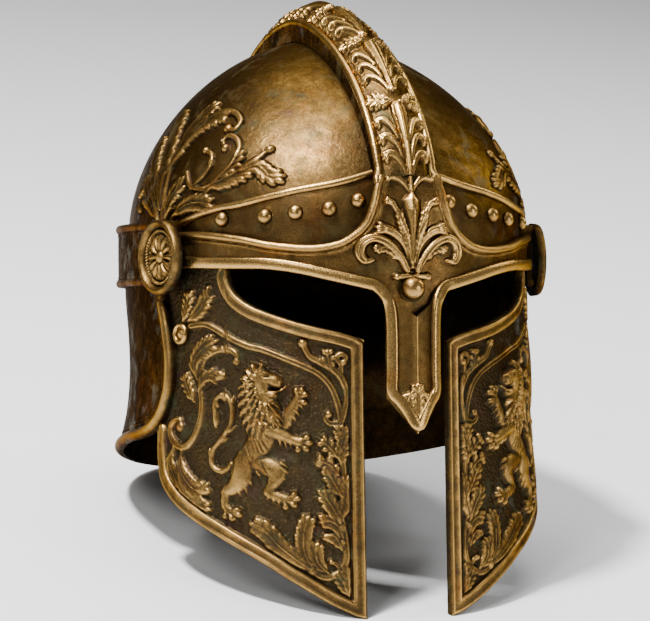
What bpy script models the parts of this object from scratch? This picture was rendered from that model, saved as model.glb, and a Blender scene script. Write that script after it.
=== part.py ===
"""An antique bronze Corinthian helmet: a domed cap with a raised comb, a brow band with a nose guard,
two long cheek plates with a lion in relief, a flared neck guard, and round bosses at the ears.

Every plate follows one wall, given by an angle around the head (0 at the nose, 90 at the wearer's left ear)
and a height over the ear line. Lift is the distance out from that wall. The helmet is modelled upright and
then leans back on its two cheek tips and the back of its neck guard, as it stands by itself on a table.
"""

import bmesh
import bpy
from math import atan2, ceil, cos, degrees, hypot, pi, radians, sin
from mathutils import Matrix, Vector

# Driving sizes, in metres
HALF_WIDTH = 0.099          # head opening, middle to outside, at the ears
FRONT_REACH = 0.100         # ear line to forehead
REAR_REACH = 0.152          # ear line to back of the head
EAR_LINE_Y = -0.017
DOME_START = 0.017          # height where the dome begins to close
DOME_RISE = 0.102
DOME_SET_BACK = 0.026       # how far the crown lies behind the ear line
CHEEK_DROP = 0.181          # ear line to the cheek tips
NECK_DROP = 0.116           # ear line to the lowest point of the neck guard
PLATE = 0.0020              # thickness of cap, cheek plates and neck guard
BAND = 0.0022               # thickness of the brow band
REAR_BAND = 0.0024          # thickness of the band round the back, between its raised edges
REAR_BAND_EDGE = 0.0012
GAP = 0.0003
CAP_FOOT = 0.0010           # lower edge of the cap, over the ear line
FACE_GAP_HALF = 0.0225      # middle to the front edge of a cheek plate
EYE_DROP = 0.042            # ear line to the inner corner of a cheek plate
NOSE_HALF = 0.0130
NOSE_DROP = 0.089
NOSE_SIDE_DROP = 0.071
NOSE_RIDGE_LIFT = 0.0135
NOSE_EDGE_LIFT = 0.0080
PROW_LIFT = 0.0045          # the brow's swelling over the nose
PROW_HALF = 0.028
COMB_HALF = 0.0165
COMB_RISE = 0.0185
COMB_FOOT = 0.038           # height where the comb leaves the brow band
REAR_BAND_HALF = 0.0165
REAR_BAND_MIDDLE = 0.0020   # height of its middle over the ear line
SEAM_STEP = 0.0030          # from the cap's foot to where the rear band reaches the cap
RIM_HALF = 0.0030           # half width of the raised rims
RIM_RISE = 0.0020
CORD_HALF = 0.0021          # half width of the thin mouldings
CORD_RISE = 0.0022
VINE_RISE = 0.0016
LION_RISE = 0.0032
ROUNDEL_RADIUS = 0.0196
ROUNDEL_THICK = 0.0048
ROSETTE_RADIUS = 0.0112
ROSETTE_PETALS = 11
BOSS_RADIUS = 0.0083
RIVET_RADIUS = 0.0040
STUD_RADIUS = 0.0052
TIP_TRIM = 0.0009           # cut flat under the cheek tips and the neck rim

FRONT_POWER = 2.05
REAR_POWER = 2.4
DOME_POWER = 1.8
SET_BACK_POWER = 2.5
PROBE = 0.00002             # step for slopes
ROUNDEL_TURN = 76.6
SPACING = 0.0125            # longest step along a moulding

# (share of the cheek drop, share of the half width), then the same for the front and rear reach
WIDTH_BY_DROP = [(0.0, 1.0), (0.11, 1.005), (0.33, 1.02), (0.55, 1.045), (0.77, 1.07), (1.02, 1.091)]
FRONT_BY_DROP = [(0.0, 1.0), (0.24, 1.0), (0.55, 1.015), (1.02, 1.05)]
REAR_BY_DROP = [(0.0, 1.0), (0.11, 0.965), (0.225, 0.865), (0.34, 0.800), (0.45, 0.825), (0.53, 0.915),
                (0.64, 0.967), (1.02, 0.98)]

# (turn in degrees, share of the eye drop): upper edge of a cheek plate, under the eye
EYE_EDGE = [(13.0, 1.0), (15.0, 0.965), (20.0, 0.90), (26.0, 0.845), (32.5, 0.775), (39.0, 0.69), (44.0, 0.615),
            (47.6, 0.54), (50.5, 0.45), (52.4, 0.34), (53.3, 0.24), (53.8, 0.12)]
# (turn, share of the cheek drop): lower edge of a cheek plate
JAW_EDGE = [(13.0, 1.0), (15.5, 0.992), (21.8, 0.961), (28.2, 0.923), (34.6, 0.885), (40.7, 0.848), (47.7, 0.812),
            (55.0, 0.776), (62.4, 0.741), (69.4, 0.705), (74.8, 0.668), (78.4, 0.631), (80.0, 0.592), (81.2, 0.54),
            (81.4, 0.50)]
# (turn, share of the eye drop): lower edge of the brow band, over the eye
BROW_EDGE = [(0.0, 0.71), (7.2, 0.47), (9.6, 0.43), (13.0, 0.385), (17.4, 0.34), (24.0, 0.275), (32.0, 0.20),
             (41.0, 0.155), (52.0, 0.15), (71.5, 0.13)]
# (turn, share of the comb foot): upper edge of the brow band
BAND_EDGE = [(0.0, 1.0), (9.0, 1.0), (10.2, 0.90), (11.5, 0.68), (13.5, 0.46), (16.9, 0.30), (21.0, 0.20),
             (27.9, 0.155), (39.3, 0.20), (48.5, 0.28), (62.0, 0.345), (71.5, 0.345)]
BROW_END_TURN = 71.5
# (turn, upper edge, lower edge), both as shares of the neck drop
NECK_EDGE = [(74.2, 0.43, 0.57), (75.4, 0.37, 0.62), (77.8, 0.26, 0.70), (80.6, 0.17, 0.745), (81.4, -0.026, 0.755),
             (85.6, -0.026, 0.785), (94.0, -0.026, 0.81), (107.7, -0.026, 0.835), (125.0, -0.026, 0.885),
             (145.0, -0.026, 0.955), (160.0, -0.026, 1.0), (180.0, -0.026, 1.0)]
# (arc angle from forehead to nape, share of the comb's rise)
COMB_CROWN = [(14.0, 0.43), (23.0, 0.52), (35.0, 0.66), (60.0, 0.88), (90.0, 1.0), (125.0, 0.95), (150.0, 0.72),
              (171.0, 0.42)]
# (share of the comb's half width, share of its rise) across the comb, outside then inside
COMB_OUTSIDE = [(-1.0, 0.40), (-0.82, 0.52), (-0.5, 0.83), (0.0, 1.0), (0.5, 0.83), (0.82, 0.52), (1.0, 0.40)]
COMB_INSIDE = [(0.88, 0.28), (0.45, 0.66), (0.0, 0.84), (-0.45, 0.66), (-0.88, 0.28)]
# (turn, share of the comb foot): the upper cap moulding and the rivets under it
CAP_MOULDING = [(11.9, 1.07), (19.6, 0.97), (31.1, 0.875), (40.0, 0.79), (50.0, 0.69), (57.8, 0.64), (66.0, 0.53)]
RIVETS = [(14.3, 0.73), (22.7, 0.62), (32.4, 0.575), (41.5, 0.525), (53.5, 0.48)]

# Relief on the right cheek: (turn, share of the cheek drop, half width as a share of the lion's limb)
LION_LIMB = 0.0042
LION_STROKES = {
    "body": [(41.0, 0.400, 1.2), (42.3, 0.445, 2.3), (43.2, 0.505, 2.2), (45.0, 0.555, 1.6), (46.0, 0.590, 1.2)],
    "head": [(45.6, 0.372, 1.3), (42.2, 0.352, 1.9), (38.6, 0.360, 1.4), (36.0, 0.366, 0.7)],
    "upper_arm": [(41.5, 0.455, 1.0), (36.6, 0.448, 0.85), (33.2, 0.425, 0.8), (30.6, 0.395, 0.95)],
    "lower_arm": [(41.6, 0.480, 1.1), (36.4, 0.492, 0.9), (31.6, 0.508, 0.8), (28.6, 0.515, 1.1)],
    "front_leg": [(45.0, 0.545, 1.5), (40.2, 0.578, 1.5), (38.0, 0.622, 0.9), (35.6, 0.655, 0.75), (32.0, 0.672, 0.9)],
    "rear_leg": [(45.8, 0.560, 1.5), (47.2, 0.605, 1.4), (50.6, 0.640, 0.9), (50.9, 0.675, 0.7), (48.6, 0.706, 0.9)],
    "tail": [(46.6, 0.590, 0.4), (51.0, 0.603, 0.4), (55.4, 0.592, 0.4), (57.2, 0.556, 0.4), (54.6, 0.510, 0.4),
             (51.4, 0.470, 0.4), (49.3, 0.415, 0.4), (51.4, 0.388, 0.45), (54.4, 0.410, 0.6), (55.4, 0.446, 0.4)],
}
VINE_LEAF = 0.0036
FRONT_VINE_STROKES = {
    "front_stem": [(29.0, 0.262, 0.3), (24.4, 0.300, 0.8), (20.6, 0.350, 0.5), (19.0, 0.410, 0.5), (19.4, 0.470, 0.4),
                   (20.6, 0.540, 0.7), (19.6, 0.600, 0.5), (20.0, 0.680, 0.7), (19.0, 0.760, 0.5), (19.6, 0.840, 0.8),
                   (18.4, 0.900, 0.3)],
    "front_leaf_a": [(21.0, 0.350, 0.4), (22.6, 0.300, 0.7), (20.4, 0.262, 0.3)],
    "front_leaf_b": [(19.6, 0.590, 0.4), (23.4, 0.565, 0.8), (24.4, 0.530, 0.2)],
    "front_leaf_c": [(19.6, 0.700, 0.4), (23.6, 0.668, 0.8), (25.0, 0.632, 0.2)],
    "low_scroll": [(19.4, 0.800, 0.4), (23.0, 0.822, 0.5), (27.4, 0.808, 0.6), (26.8, 0.760, 0.7), (25.0, 0.742, 0.3)],
    "low_branch": [(24.5, 0.816, 0.4), (30.0, 0.812, 0.8), (36.0, 0.782, 0.7), (41.8, 0.744, 0.2)],
    "low_leaf": [(31.0, 0.808, 0.4), (31.4, 0.762, 0.7), (29.6, 0.728, 0.2)],
}
REAR_VINE_STROKES = {
    "rear_stem": [(64.4, 0.672, 0.2), (67.2, 0.620, 0.7), (66.4, 0.575, 0.5), (62.8, 0.540, 0.5), (60.2, 0.470, 0.5),
                  (61.0, 0.372, 0.6), (59.3, 0.310, 0.7), (55.2, 0.270, 0.7), (50.6, 0.278, 0.6), (49.0, 0.302, 0.5)],
    "rear_curl": [(66.0, 0.570, 0.5), (69.2, 0.548, 0.5), (68.4, 0.512, 0.5), (66.2, 0.524, 0.4)],
    "rear_leaf_a": [(60.6, 0.420, 0.4), (63.8, 0.375, 0.9), (64.8, 0.338, 0.2)],
    "rear_leaf_b": [(60.8, 0.365, 0.4), (56.6, 0.345, 0.8), (53.8, 0.325, 0.5)],
}
SCROLL_STROKES = {
    "curve": [(68.2, 0.200, 0.6), (63.0, 0.196, 0.6), (56.6, 0.216, 0.6), (45.1, 0.259, 0.6), (37.7, 0.289, 0.6),
              (30.7, 0.322, 0.6), (25.7, 0.369, 0.6), (22.9, 0.418, 0.55), (22.0, 0.462, 0.5), (23.2, 0.478, 0.5),
              (24.6, 0.462, 0.45), (24.3, 0.440, 0.4)],
}
# Relief on the cap over the right ear: (turn, share of the comb foot, half width share)
SPRAY_STROKES = {
    "stem": [(82.0, 0.60, 0.8), (83.4, 0.90, 0.6), (81.4, 1.20, 0.6), (77.0, 1.55, 0.8), (70.6, 1.84, 1.0),
             (64.0, 1.93, 0.4)],
    "back_leaf": [(84.6, 0.70, 0.5), (90.0, 1.05, 0.8), (96.0, 1.50, 0.9), (98.4, 1.95, 0.3)],
    "middle": [(83.0, 0.85, 0.5), (74.6, 1.06, 0.6), (66.0, 1.22, 0.8), (59.0, 1.40, 0.9), (55.2, 1.36, 0.4)],
    "low": [(83.0, 0.75, 0.5), (72.0, 0.96, 0.6), (62.0, 0.91, 0.7), (53.0, 0.92, 0.9), (45.0, 1.00, 0.8),
            (38.6, 0.95, 0.3)],
}
# Front ornaments: (sideways share of the face gap's half, height as a share of the comb foot, half width share)
LILY_LEAF = 0.0046
LILY_STROKES = {
    "spear": [(0.0, -0.10, 0.5), (0.0, 0.22, 0.75), (0.0, 0.58, 1.2), (0.0, 0.82, 0.15)],
    "leaf_left": [(-0.12, -0.10, 0.4), (-0.30, 0.12, 0.6), (-0.62, 0.34, 0.85), (-0.88, 0.42, 0.25)],
    "leaf_right": [(0.12, -0.10, 0.4), (0.30, 0.12, 0.6), (0.62, 0.34, 0.85), (0.88, 0.42, 0.25)],
    "curl_left": [(-0.16, -0.10, 0.4), (-0.40, 0.04, 0.6), (-0.80, 0.16, 0.75), (-1.12, 0.06, 0.8), (-1.04, -0.10, 0.3)],
    "curl_right": [(0.16, -0.10, 0.4), (0.40, 0.04, 0.6), (0.80, 0.16, 0.75), (1.12, 0.06, 0.8), (1.04, -0.10, 0.3)],
    "tie": [(-0.52, -0.20, 0.45), (-0.26, -0.13, 0.35), (0.0, -0.10, 0.35), (0.26, -0.13, 0.35), (0.52, -0.20, 0.45)],
}
NOSE_LEAF_STROKES = {
    "middle": [(0.0, 0.865, 0.2), (0.0, 0.82, 0.6), (0.0, 0.735, 0.15)],
    "left": [(0.0, 0.85, 0.3), (-0.13, 0.81, 0.4), (-0.24, 0.765, 0.2)],
    "right": [(0.0, 0.85, 0.3), (0.13, 0.81, 0.4), (0.24, 0.765, 0.2)],
}
# Leaves up the comb: arc angles, three leaves at each
COMB_LEAF_FROM = 20.0
COMB_LEAF_TO = 158.0
COMB_LEAF_PAIRS = 7
COMB_LEAF_HALF = 0.0030

BRONZE = (0.33, 0.22, 0.105, 1.0)
BRIGHT_BRONZE = (0.52, 0.37, 0.18, 1.0)
DARK_BRONZE = (0.16, 0.115, 0.065, 1.0)


def lookup(table, x, column=1):
    """Smooth value of a table at x, through each of its rows."""
    rows = table
    if x <= rows[0][0]:
        return rows[0][column]
    if x >= rows[-1][0]:
        return rows[-1][column]
    i = max(k for k in range(len(rows) - 1) if rows[k][0] <= x)

    def slope(k):
        a, b = rows[max(k - 1, 0)], rows[min(k + 1, len(rows) - 1)]
        return (b[column] - a[column]) / (b[0] - a[0])

    step = rows[i + 1][0] - rows[i][0]
    t = (x - rows[i][0]) / step
    return ((2 * t**3 - 3 * t**2 + 1) * rows[i][column] + (t**3 - 2 * t**2 + t) * step * slope(i)
            + (3 * t**2 - 2 * t**3) * rows[i + 1][column] + (t**3 - t**2) * step * slope(i + 1))


def wall_radius(turn, z):
    """Distance from the head's axis to the wall, before the dome closes."""
    drop = max(0.0, -z / CHEEK_DROP)
    half = HALF_WIDTH * lookup(WIDTH_BY_DROP, drop)
    if cos(turn) > 0:
        reach, power = FRONT_REACH * lookup(FRONT_BY_DROP, drop), FRONT_POWER
    else:
        reach, power = REAR_REACH * lookup(REAR_BY_DROP, drop), REAR_POWER
    return ((abs(sin(turn)) / half) ** power + (abs(cos(turn)) / reach) ** power) ** (-1 / power)


def axis_y(z):
    share = min(1.0, max(0.0, (z - DOME_START) / DOME_RISE))
    return EAR_LINE_Y + DOME_SET_BACK * share**SET_BACK_POWER


def closing(z):
    """Share of the full radius that is left at height z."""
    share = max(0.0, (z - DOME_START) / DOME_RISE)
    return max(0.0, 1 - share**DOME_POWER) ** (1 / DOME_POWER)


def wall_point(turn, z):
    r = wall_radius(turn, z) * closing(z)
    return Vector((r * sin(turn), axis_y(z) - r * cos(turn), z))


def outside_of(p):
    """Grows from the axis to 1 at the wall."""
    dy = axis_y(p.z) - p.y
    r = hypot(p.x, dy)
    share = max(0.0, (p.z - DOME_START) / DOME_RISE)
    return (r / wall_radius(atan2(p.x, dy), p.z)) ** DOME_POWER + share**DOME_POWER


def normal_at(p):
    steps = [Vector((PROBE, 0, 0)), Vector((0, PROBE, 0)), Vector((0, 0, PROBE))]
    return Vector([outside_of(p + s) - outside_of(p - s) for s in steps]).normalized()


def lifted(turn_deg, z, lift):
    p = wall_point(radians(turn_deg), z)
    return p + normal_at(p) * lift


def turn_of(x, z):
    """Angle, in degrees, where the wall in front is x to the side."""
    low, high = 0.0, pi / 2
    for _ in range(40):
        middle = (low + high) / 2
        if wall_point(middle, z).x < abs(x):
            low = middle
        else:
            high = middle
    return degrees(low) * (1 if x >= 0 else -1)


def brow_lift(turn_deg, z):
    x = abs(wall_point(radians(turn_deg), z).x)
    return GAP + BAND + PROW_LIFT / (1 + (x / PROW_HALF) ** 4)


def nose_lift(x):
    share = min(1.0, abs(x) / NOSE_HALF)
    return NOSE_RIDGE_LIFT + (NOSE_EDGE_LIFT - NOSE_RIDGE_LIFT) * share**1.3


HELMET = None


def material(name, colour, roughness):
    found = bpy.data.materials.get(name)
    if found:
        return found
    made = bpy.data.materials.new(name)
    made.use_nodes = True
    shader = made.node_tree.nodes["Principled BSDF"]
    shader.inputs["Base Color"].default_value = colour
    shader.inputs["Metallic"].default_value = 1.0
    shader.inputs["Roughness"].default_value = roughness
    return made


def add_object(name, points, faces, look):
    mesh = bpy.data.meshes.new(name)
    mesh.from_pydata([tuple(p) for p in points], [], faces)
    bm = bmesh.new()
    bm.from_mesh(mesh)
    bmesh.ops.recalc_face_normals(bm, faces=bm.faces)
    bm.to_mesh(mesh)
    bm.free()
    mesh.shade_smooth()
    mesh.set_sharp_from_angle(angle=radians(35))
    mesh.materials.append(look)
    made = bpy.data.objects.new(name, mesh)
    bpy.context.scene.collection.objects.link(made)
    made.parent = HELMET
    return made


def sheet(name, columns, look, ring=False):
    """A plate from columns of (turn, z, outer lift, inner lift), closed on itself if it is a ring."""
    rows = len(columns[0])
    points = [lifted(t, z, out) for column in columns for t, z, out, _ in column]
    points += [lifted(t, z, inn) for column in columns for t, z, _, inn in column]
    return add_object(name, points, sheet_faces(len(columns), rows, ring), look)


def sheet_faces(columns, rows, ring):
    inner = columns * rows
    faces = []
    spans = columns if ring else columns - 1
    for c in range(spans):
        d = (c + 1) % columns
        for r in range(rows - 1):
            a, b, e, f = c * rows + r, d * rows + r, d * rows + r + 1, c * rows + r + 1
            faces.append((a, b, e, f))
            faces.append((inner + a, inner + f, inner + e, inner + b))
        for r in (0, rows - 1):
            a, b = c * rows + r, d * rows + r
            faces.append((a, b, inner + b, inner + a))
    if not ring:
        for c in (0, columns - 1):
            for r in range(rows - 1):
                a, b = c * rows + r, c * rows + r + 1
                faces.append((a, b, inner + b, inner + a))
    return faces


def strip(frames, halves, rise, base=GAP):
    """Points and faces of a moulding along frames of (point, normal, side)."""
    section = [(-1.0, 0.0), (-0.5, 1.0), (0.5, 1.0), (1.0, 0.0)]
    points = []
    for (p, n, side), half in zip(frames, halves):
        for across, up in section:
            points.append(p + side * across * half + n * (base + up * rise))
    count, last = len(section), len(frames) - 1
    faces = []
    for i in range(last):
        for k in range(count):
            m = (k + 1) % count
            faces.append((i * count + k, i * count + m, (i + 1) * count + m, (i + 1) * count + k))
    faces.append(tuple(range(count)))
    faces.append(tuple(last * count + k for k in reversed(range(count))))
    return points, faces


def frames_of(places):
    """Frames along points already on their surface: places is a list of (point, normal)."""
    frames = []
    for i, (p, n) in enumerate(places):
        before, after = places[max(i - 1, 0)][0], places[min(i + 1, len(places) - 1)][0]
        along = (after - before).normalized()
        frames.append((p, n, n.cross(along).normalized()))
    return frames


def smooth_route(route, spacing=SPACING, scale=(1.0, 1.0)):
    """The rows of a table joined by a smooth curve, with points no further apart than the spacing."""
    rows = []
    for i in range(len(route) - 1):
        before, a = route[max(i - 1, 0)], route[i]
        b, after = route[i + 1], route[min(i + 2, len(route) - 1)]
        size = hypot((b[0] - a[0]) * scale[0], (b[1] - a[1]) * scale[1])
        steps = max(1, ceil(size / spacing))
        for s in range(steps):
            t = s / steps
            rows.append(tuple(0.5 * (2 * a[k] + (b[k] - before[k]) * t
                                     + (2 * before[k] - 5 * a[k] + 4 * b[k] - after[k]) * t**2
                                     + (3 * a[k] - before[k] - 3 * b[k] + after[k]) * t**3)
                              for k in range(len(a))))
    rows.append(tuple(route[-1]))
    return rows


def wall_places(rows, unit, side, lift_at):
    """(point, normal) for rows of (turn, height share) on the wall lifted by lift_at(turn, z)."""
    places = []
    for row in rows:
        turn, z = row[0] * side, row[1] * unit
        p = wall_point(radians(turn), z)
        n = normal_at(p)
        places.append((p + n * lift_at(turn, z), n))
    return places


def flat_lift(_turn, _z):
    return 0.0


def moulding(name, route, unit, side, half, rise, look, lift_at=flat_lift):
    """A plain raised moulding along a table of (turn, height share)."""
    rows = smooth_route(route, scale=(HALF_WIDTH * pi / 180, unit))
    frames = frames_of(wall_places(rows, unit, side, lift_at))
    points, faces = strip(frames, [half] * len(rows), rise)
    return add_object(name, points, faces, look)


def relief(name, strokes, places_of, leaf, rise, look, unit_scale):
    """Tapering strokes fused into one raised ornament. places_of turns rows into (point, normal)."""
    made = None
    for order, (label, route) in enumerate(strokes.items()):
        rows = smooth_route(route, scale=unit_scale)
        frames = frames_of(places_of(rows))
        depth = GAP * (1 + 0.06 * (order % 5))
        points, faces = strip(frames, [row[2] * leaf for row in rows], rise * (1 + 0.02 * order), depth)
        if made is None:
            made = add_object(name, points, faces, look)
            continue
        tool = add_object(f"{name}_{label}", points, faces, look)
        tool.hide_render = True
        tool.display_type = "WIRE"
        union = made.modifiers.new(label, "BOOLEAN")
        union.operation = "UNION"
        union.solver = "EXACT"
        union.object = tool
    return made


def wall_relief(name, strokes, unit, side, leaf, rise, look, lift_at=flat_lift):
    return relief(name, strokes, lambda rows: wall_places(rows, unit, side, lift_at), leaf, rise, look,
                  (HALF_WIDTH * pi / 180, unit))


def turned(name, centre, normal, profile, sides, look, lobes=0, depth=0.0):
    """A turned piece from (radius, height) rings, with its first and last points on the axis."""
    across = normal.orthogonal().normalized()
    up = normal.cross(across)
    points = [centre + normal * profile[0][1]]
    for radius, height in profile[1:-1]:
        for s in range(sides):
            angle = 2 * pi * s / sides
            wave = 1 + depth * cos(lobes * angle)
            points.append(centre + (across * cos(angle) + up * sin(angle)) * radius * wave + normal * height)
    points.append(centre + normal * profile[-1][1])
    rings, last = len(profile) - 2, len(points) - 1
    faces = []
    for s in range(sides):
        t = (s + 1) % sides
        faces.append((0, 1 + t, 1 + s))
        for r in range(rings - 1):
            a, b = 1 + r * sides, 1 + (r + 1) * sides
            faces.append((a + s, a + t, b + t, b + s))
        faces.append((1 + (rings - 1) * sides + s, 1 + (rings - 1) * sides + t, last))
    return add_object(name, points, faces, look)


def dome_profile(radius, rise):
    """A low button: a flat back and a round top."""
    arc = [(radius * cos(radians(a)), rise * sin(radians(a))) for a in (0, 45)]
    return [(0.0, 0.0)] + arc + [(0.0, rise)]


def skull_cap(look):
    heights = [CAP_FOOT, DOME_START]
    heights += [DOME_START + DOME_RISE * sin(radians(a)) ** (2 / DOME_POWER) for a in (7, 15, 27, 41, 56, 70, 80)]
    columns = 32
    points, count = [], len(heights)
    for lift in (0.0, -PLATE):
        for c in range(columns):
            points += [lifted(360 * c / columns, z, lift) for z in heights]
    crown = wall_point(0.0, DOME_START + DOME_RISE)
    points += [crown, crown - Vector((0, 0, PLATE))]
    faces, inner, top = [], columns * count, 2 * columns * count
    for c in range(columns):
        d = (c + 1) % columns
        for r in range(count - 1):
            a, b = c * count + r, d * count + r
            faces.append((a, b, b + 1, a + 1))
            faces.append((inner + a, inner + a + 1, inner + b + 1, inner + b))
        a, b = c * count, d * count
        faces.append((a, inner + a, inner + b, b))
        faces.append((a + count - 1, b + count - 1, top))
        faces.append((inner + b + count - 1, inner + a + count - 1, top + 1))
    return add_object("skull_cap", points, faces, look)


def brow_band(look):
    turns = [0, 3, 6, 8, 9, 10.2, 11.5, 13.5, 16.9, 21, 27, 34, 41, 48.5, 56, 64, BROW_END_TURN]
    turns = [-t for t in reversed(turns[1:])] + turns
    columns, rows = [], 4
    for turn in turns:
        low = -EYE_DROP * lookup(BROW_EDGE, abs(turn))
        high = COMB_FOOT * lookup(BAND_EDGE, abs(turn)) - GAP
        column = []
        for r in range(rows):
            z = low + (high - low) * r / (rows - 1)
            out = brow_lift(turn, z)
            column.append((turn, z, out, out - BAND))
        columns.append(column)
    return sheet("brow_band", columns, look)


def nose_guard(look):
    columns, rows, steps = [], 6, 4
    for s in range(-steps, steps + 1):
        x = NOSE_HALF * s / steps
        share = abs(s) / steps
        top_turn = abs(turn_of(x, -EYE_DROP * 0.5))
        top = -EYE_DROP * lookup(BROW_EDGE, top_turn) - 2 * GAP
        low = -NOSE_DROP + (NOSE_DROP - NOSE_SIDE_DROP) * share
        column = []
        for r in range(rows):
            z = low + (top - low) * r / (rows - 1)
            column.append((turn_of(x, z), z, nose_lift(x), nose_lift(x) - BAND))
        columns.append(column)
    return sheet("nose_guard", columns, look)


def cheek_turn(share_turn, z):
    """Turns near the front edge follow the edge, which stands upright."""
    edge = turn_of(FACE_GAP_HALF, z)
    start = EYE_EDGE[0][0]
    blend = max(0.0, 1 - (share_turn - start) / 12)
    return share_turn + (edge - start) * blend


def cheek_top(turn):
    if turn <= EYE_EDGE[-1][0]:
        return -EYE_DROP * lookup(EYE_EDGE, turn)
    return CAP_FOOT - GAP


def cheek_low(turn):
    return -CHEEK_DROP * lookup(JAW_EDGE, min(turn, JAW_EDGE[-1][0]))


def cheek_plate(name, side, look):
    turns = [13.0, 16, 20, 26, 32, 39, 44, 47.6, 50.5, 52.4, 53.3, 53.8, 54.6, 60, 65, 69.4, 72.5, 74.8, 77, 78.4,
             80, 81.2]
    columns, rows = [], 6
    for turn in turns:
        high, low = cheek_top(turn), cheek_low(turn)
        column = []
        for r in range(rows):
            z = low + (high - low) * r / (rows - 1)
            column.append((side * cheek_turn(turn, z), z, 0.0, -PLATE))
        columns.append(column)
    return sheet(name, columns, look)


def neck_guard(look):
    extra = [116.0, 135.0]
    turns = sorted([row[0] for row in NECK_EDGE] + extra)
    turns += [360 - t for t in reversed(turns[:-1])]
    columns, rows = [], 7
    for turn in turns:
        near = min(turn, 360 - turn)
        high, low = (-NECK_DROP * lookup(NECK_EDGE, near, k) for k in (1, 2))
        high = min(high, CAP_FOOT - GAP)
        column = []
        for r in range(rows):
            z = low + (high - low) * r / (rows - 1)
            column.append((turn, z, GAP + PLATE, GAP))
        columns.append(column)
    return sheet("neck_guard", columns, look)


def rear_band_lift():
    """Lift of the band's back where it lies over the neck guard."""
    return 5 * GAP + PLATE


def rear_band(look):
    """The band at ear height round the back: it lies on the neck guard, and above that guard's top on the cap."""
    first, steps = BROW_END_TURN + 0.6, 20
    outer = rear_band_lift() + REAR_BAND
    low, high = REAR_BAND_MIDDLE - REAR_BAND_HALF, REAR_BAND_MIDDLE + REAR_BAND_HALF
    section = [(low, REAR_BAND_EDGE, rear_band_lift()), (low * 0.72, 0.0, rear_band_lift()),
               (CAP_FOOT, 0.0, rear_band_lift()), (CAP_FOOT + SEAM_STEP, 0.0, 3 * GAP), (high * 0.72, 0.0, 3 * GAP),
               (high, REAR_BAND_EDGE, 3 * GAP)]
    columns = []
    for s in range(steps + 1):
        turn = first + (360 - 2 * first) * s / steps
        columns.append([(turn, z, outer + edge, inner) for z, edge, inner in section])
    return sheet("rear_band", columns, look)


def comb_station(angle):
    """Middle of the dome at an arc angle from forehead to nape, with the normal there."""
    z = DOME_START + DOME_RISE * sin(radians(angle)) ** (2 / DOME_POWER)
    p = wall_point(0.0 if angle <= 90 else pi, z)
    return p, normal_at(p)


def comb_crown_lift(angle):
    return COMB_RISE * lookup(COMB_CROWN, angle)


def comb_seat(p, n, x):
    """Height over the middle normal where the dome lies x to the side, with its gap."""
    low, high = -0.02, 0.004
    for _ in range(40):
        middle = (low + high) / 2
        if outside_of(p + Vector((x, 0, 0)) + n * middle) < 1:
            low = middle
        else:
            high = middle
    return low + GAP * 1.6


def comb(look):
    angles = [COMB_CROWN[0][0] + 0.3] + [19, 26, 34, 43, 52, 61, 70, 80, 90, 100, 110, 120, 130, 140, 150, 160,
                                         170]
    points = []
    for angle in angles:
        p, n = comb_station(angle)
        rise = comb_crown_lift(angle)
        seat_out = comb_seat(p, n, COMB_HALF)
        seat_in = comb_seat(p, n, COMB_HALF * COMB_INSIDE[0][0])
        ring = [(-COMB_HALF, seat_out)]
        ring += [(x * COMB_HALF, lift * rise) for x, lift in COMB_OUTSIDE]
        ring += [(COMB_HALF, seat_out), (COMB_HALF * COMB_INSIDE[0][0], seat_in)]
        ring += [(x * COMB_HALF, lift * rise) for x, lift in COMB_INSIDE]
        ring += [(-COMB_HALF * COMB_INSIDE[0][0], seat_in)]
        points += [p + Vector((x, 0, 0)) + n * lift for x, lift in ring]
    count, last = len(points) // len(angles), len(angles) - 1
    faces = []
    for i in range(last):
        for k in range(count):
            m = (k + 1) % count
            faces.append((i * count + k, i * count + m, (i + 1) * count + m, (i + 1) * count + k))
    faces += [tuple(range(count)), tuple(last * count + k for k in range(count))]
    return add_object("comb", points, faces, look)


def comb_places(rows):
    """(point, normal) over the comb for rows of (share of its half width, arc angle)."""
    places = []
    for row in rows:
        p, n = comb_station(row[1])
        rise = comb_crown_lift(row[1])
        lift = rise * lookup(COMB_OUTSIDE, row[0]) + GAP
        slope = rise * (lookup(COMB_OUTSIDE, row[0] + 0.05) - lookup(COMB_OUTSIDE, row[0] - 0.05))
        tilt = Vector((-slope, 0, 0)) / (0.1 * COMB_HALF)
        places.append((p + Vector((row[0] * COMB_HALF, 0, 0)) + n * lift, (n + tilt).normalized()))
    return places


def comb_edge(name, side, look):
    steps = 20
    first, last = COMB_CROWN[0][0] + 1, COMB_CROWN[-1][0] - 2
    rows = [(0.88 * side, first + (last - first) * s / steps) for s in range(steps + 1)]
    points, faces = strip(frames_of(comb_places(rows)), [CORD_HALF * 0.9] * len(rows), CORD_RISE, GAP * 2)
    return add_object(name, points, faces, look)


def comb_vine(look):
    strokes = {"stem": [(0.0, COMB_LEAF_FROM, 0.5)]
               + [(0.0, COMB_LEAF_FROM + (COMB_LEAF_TO - COMB_LEAF_FROM) * k / 8, 0.6) for k in range(1, 8)]
               + [(0.0, COMB_LEAF_TO, 0.4)]}
    step = (COMB_LEAF_TO - COMB_LEAF_FROM - 8) / COMB_LEAF_PAIRS
    for k in range(COMB_LEAF_PAIRS):
        start = COMB_LEAF_FROM + 2 + step * k
        for side in (-1, 1):
            strokes[f"leaf_{k}_{'left' if side > 0 else 'right'}"] = [
                (0.06 * side, start, 0.4), (0.34 * side, start + step * 0.45, 0.8),
                (0.62 * side, start + step * 0.62, 0.25)]
    arc = DOME_RISE * pi / 180
    return relief("comb_vine", strokes, comb_places, COMB_LEAF_HALF, VINE_RISE, look, (COMB_HALF, arc))


def brow_point(x, z):
    turn = turn_of(x, z)
    return lifted(turn, z, brow_lift(turn, z))


def nose_point(x, z):
    return lifted(turn_of(x, z), z, nose_lift(x))


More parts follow.
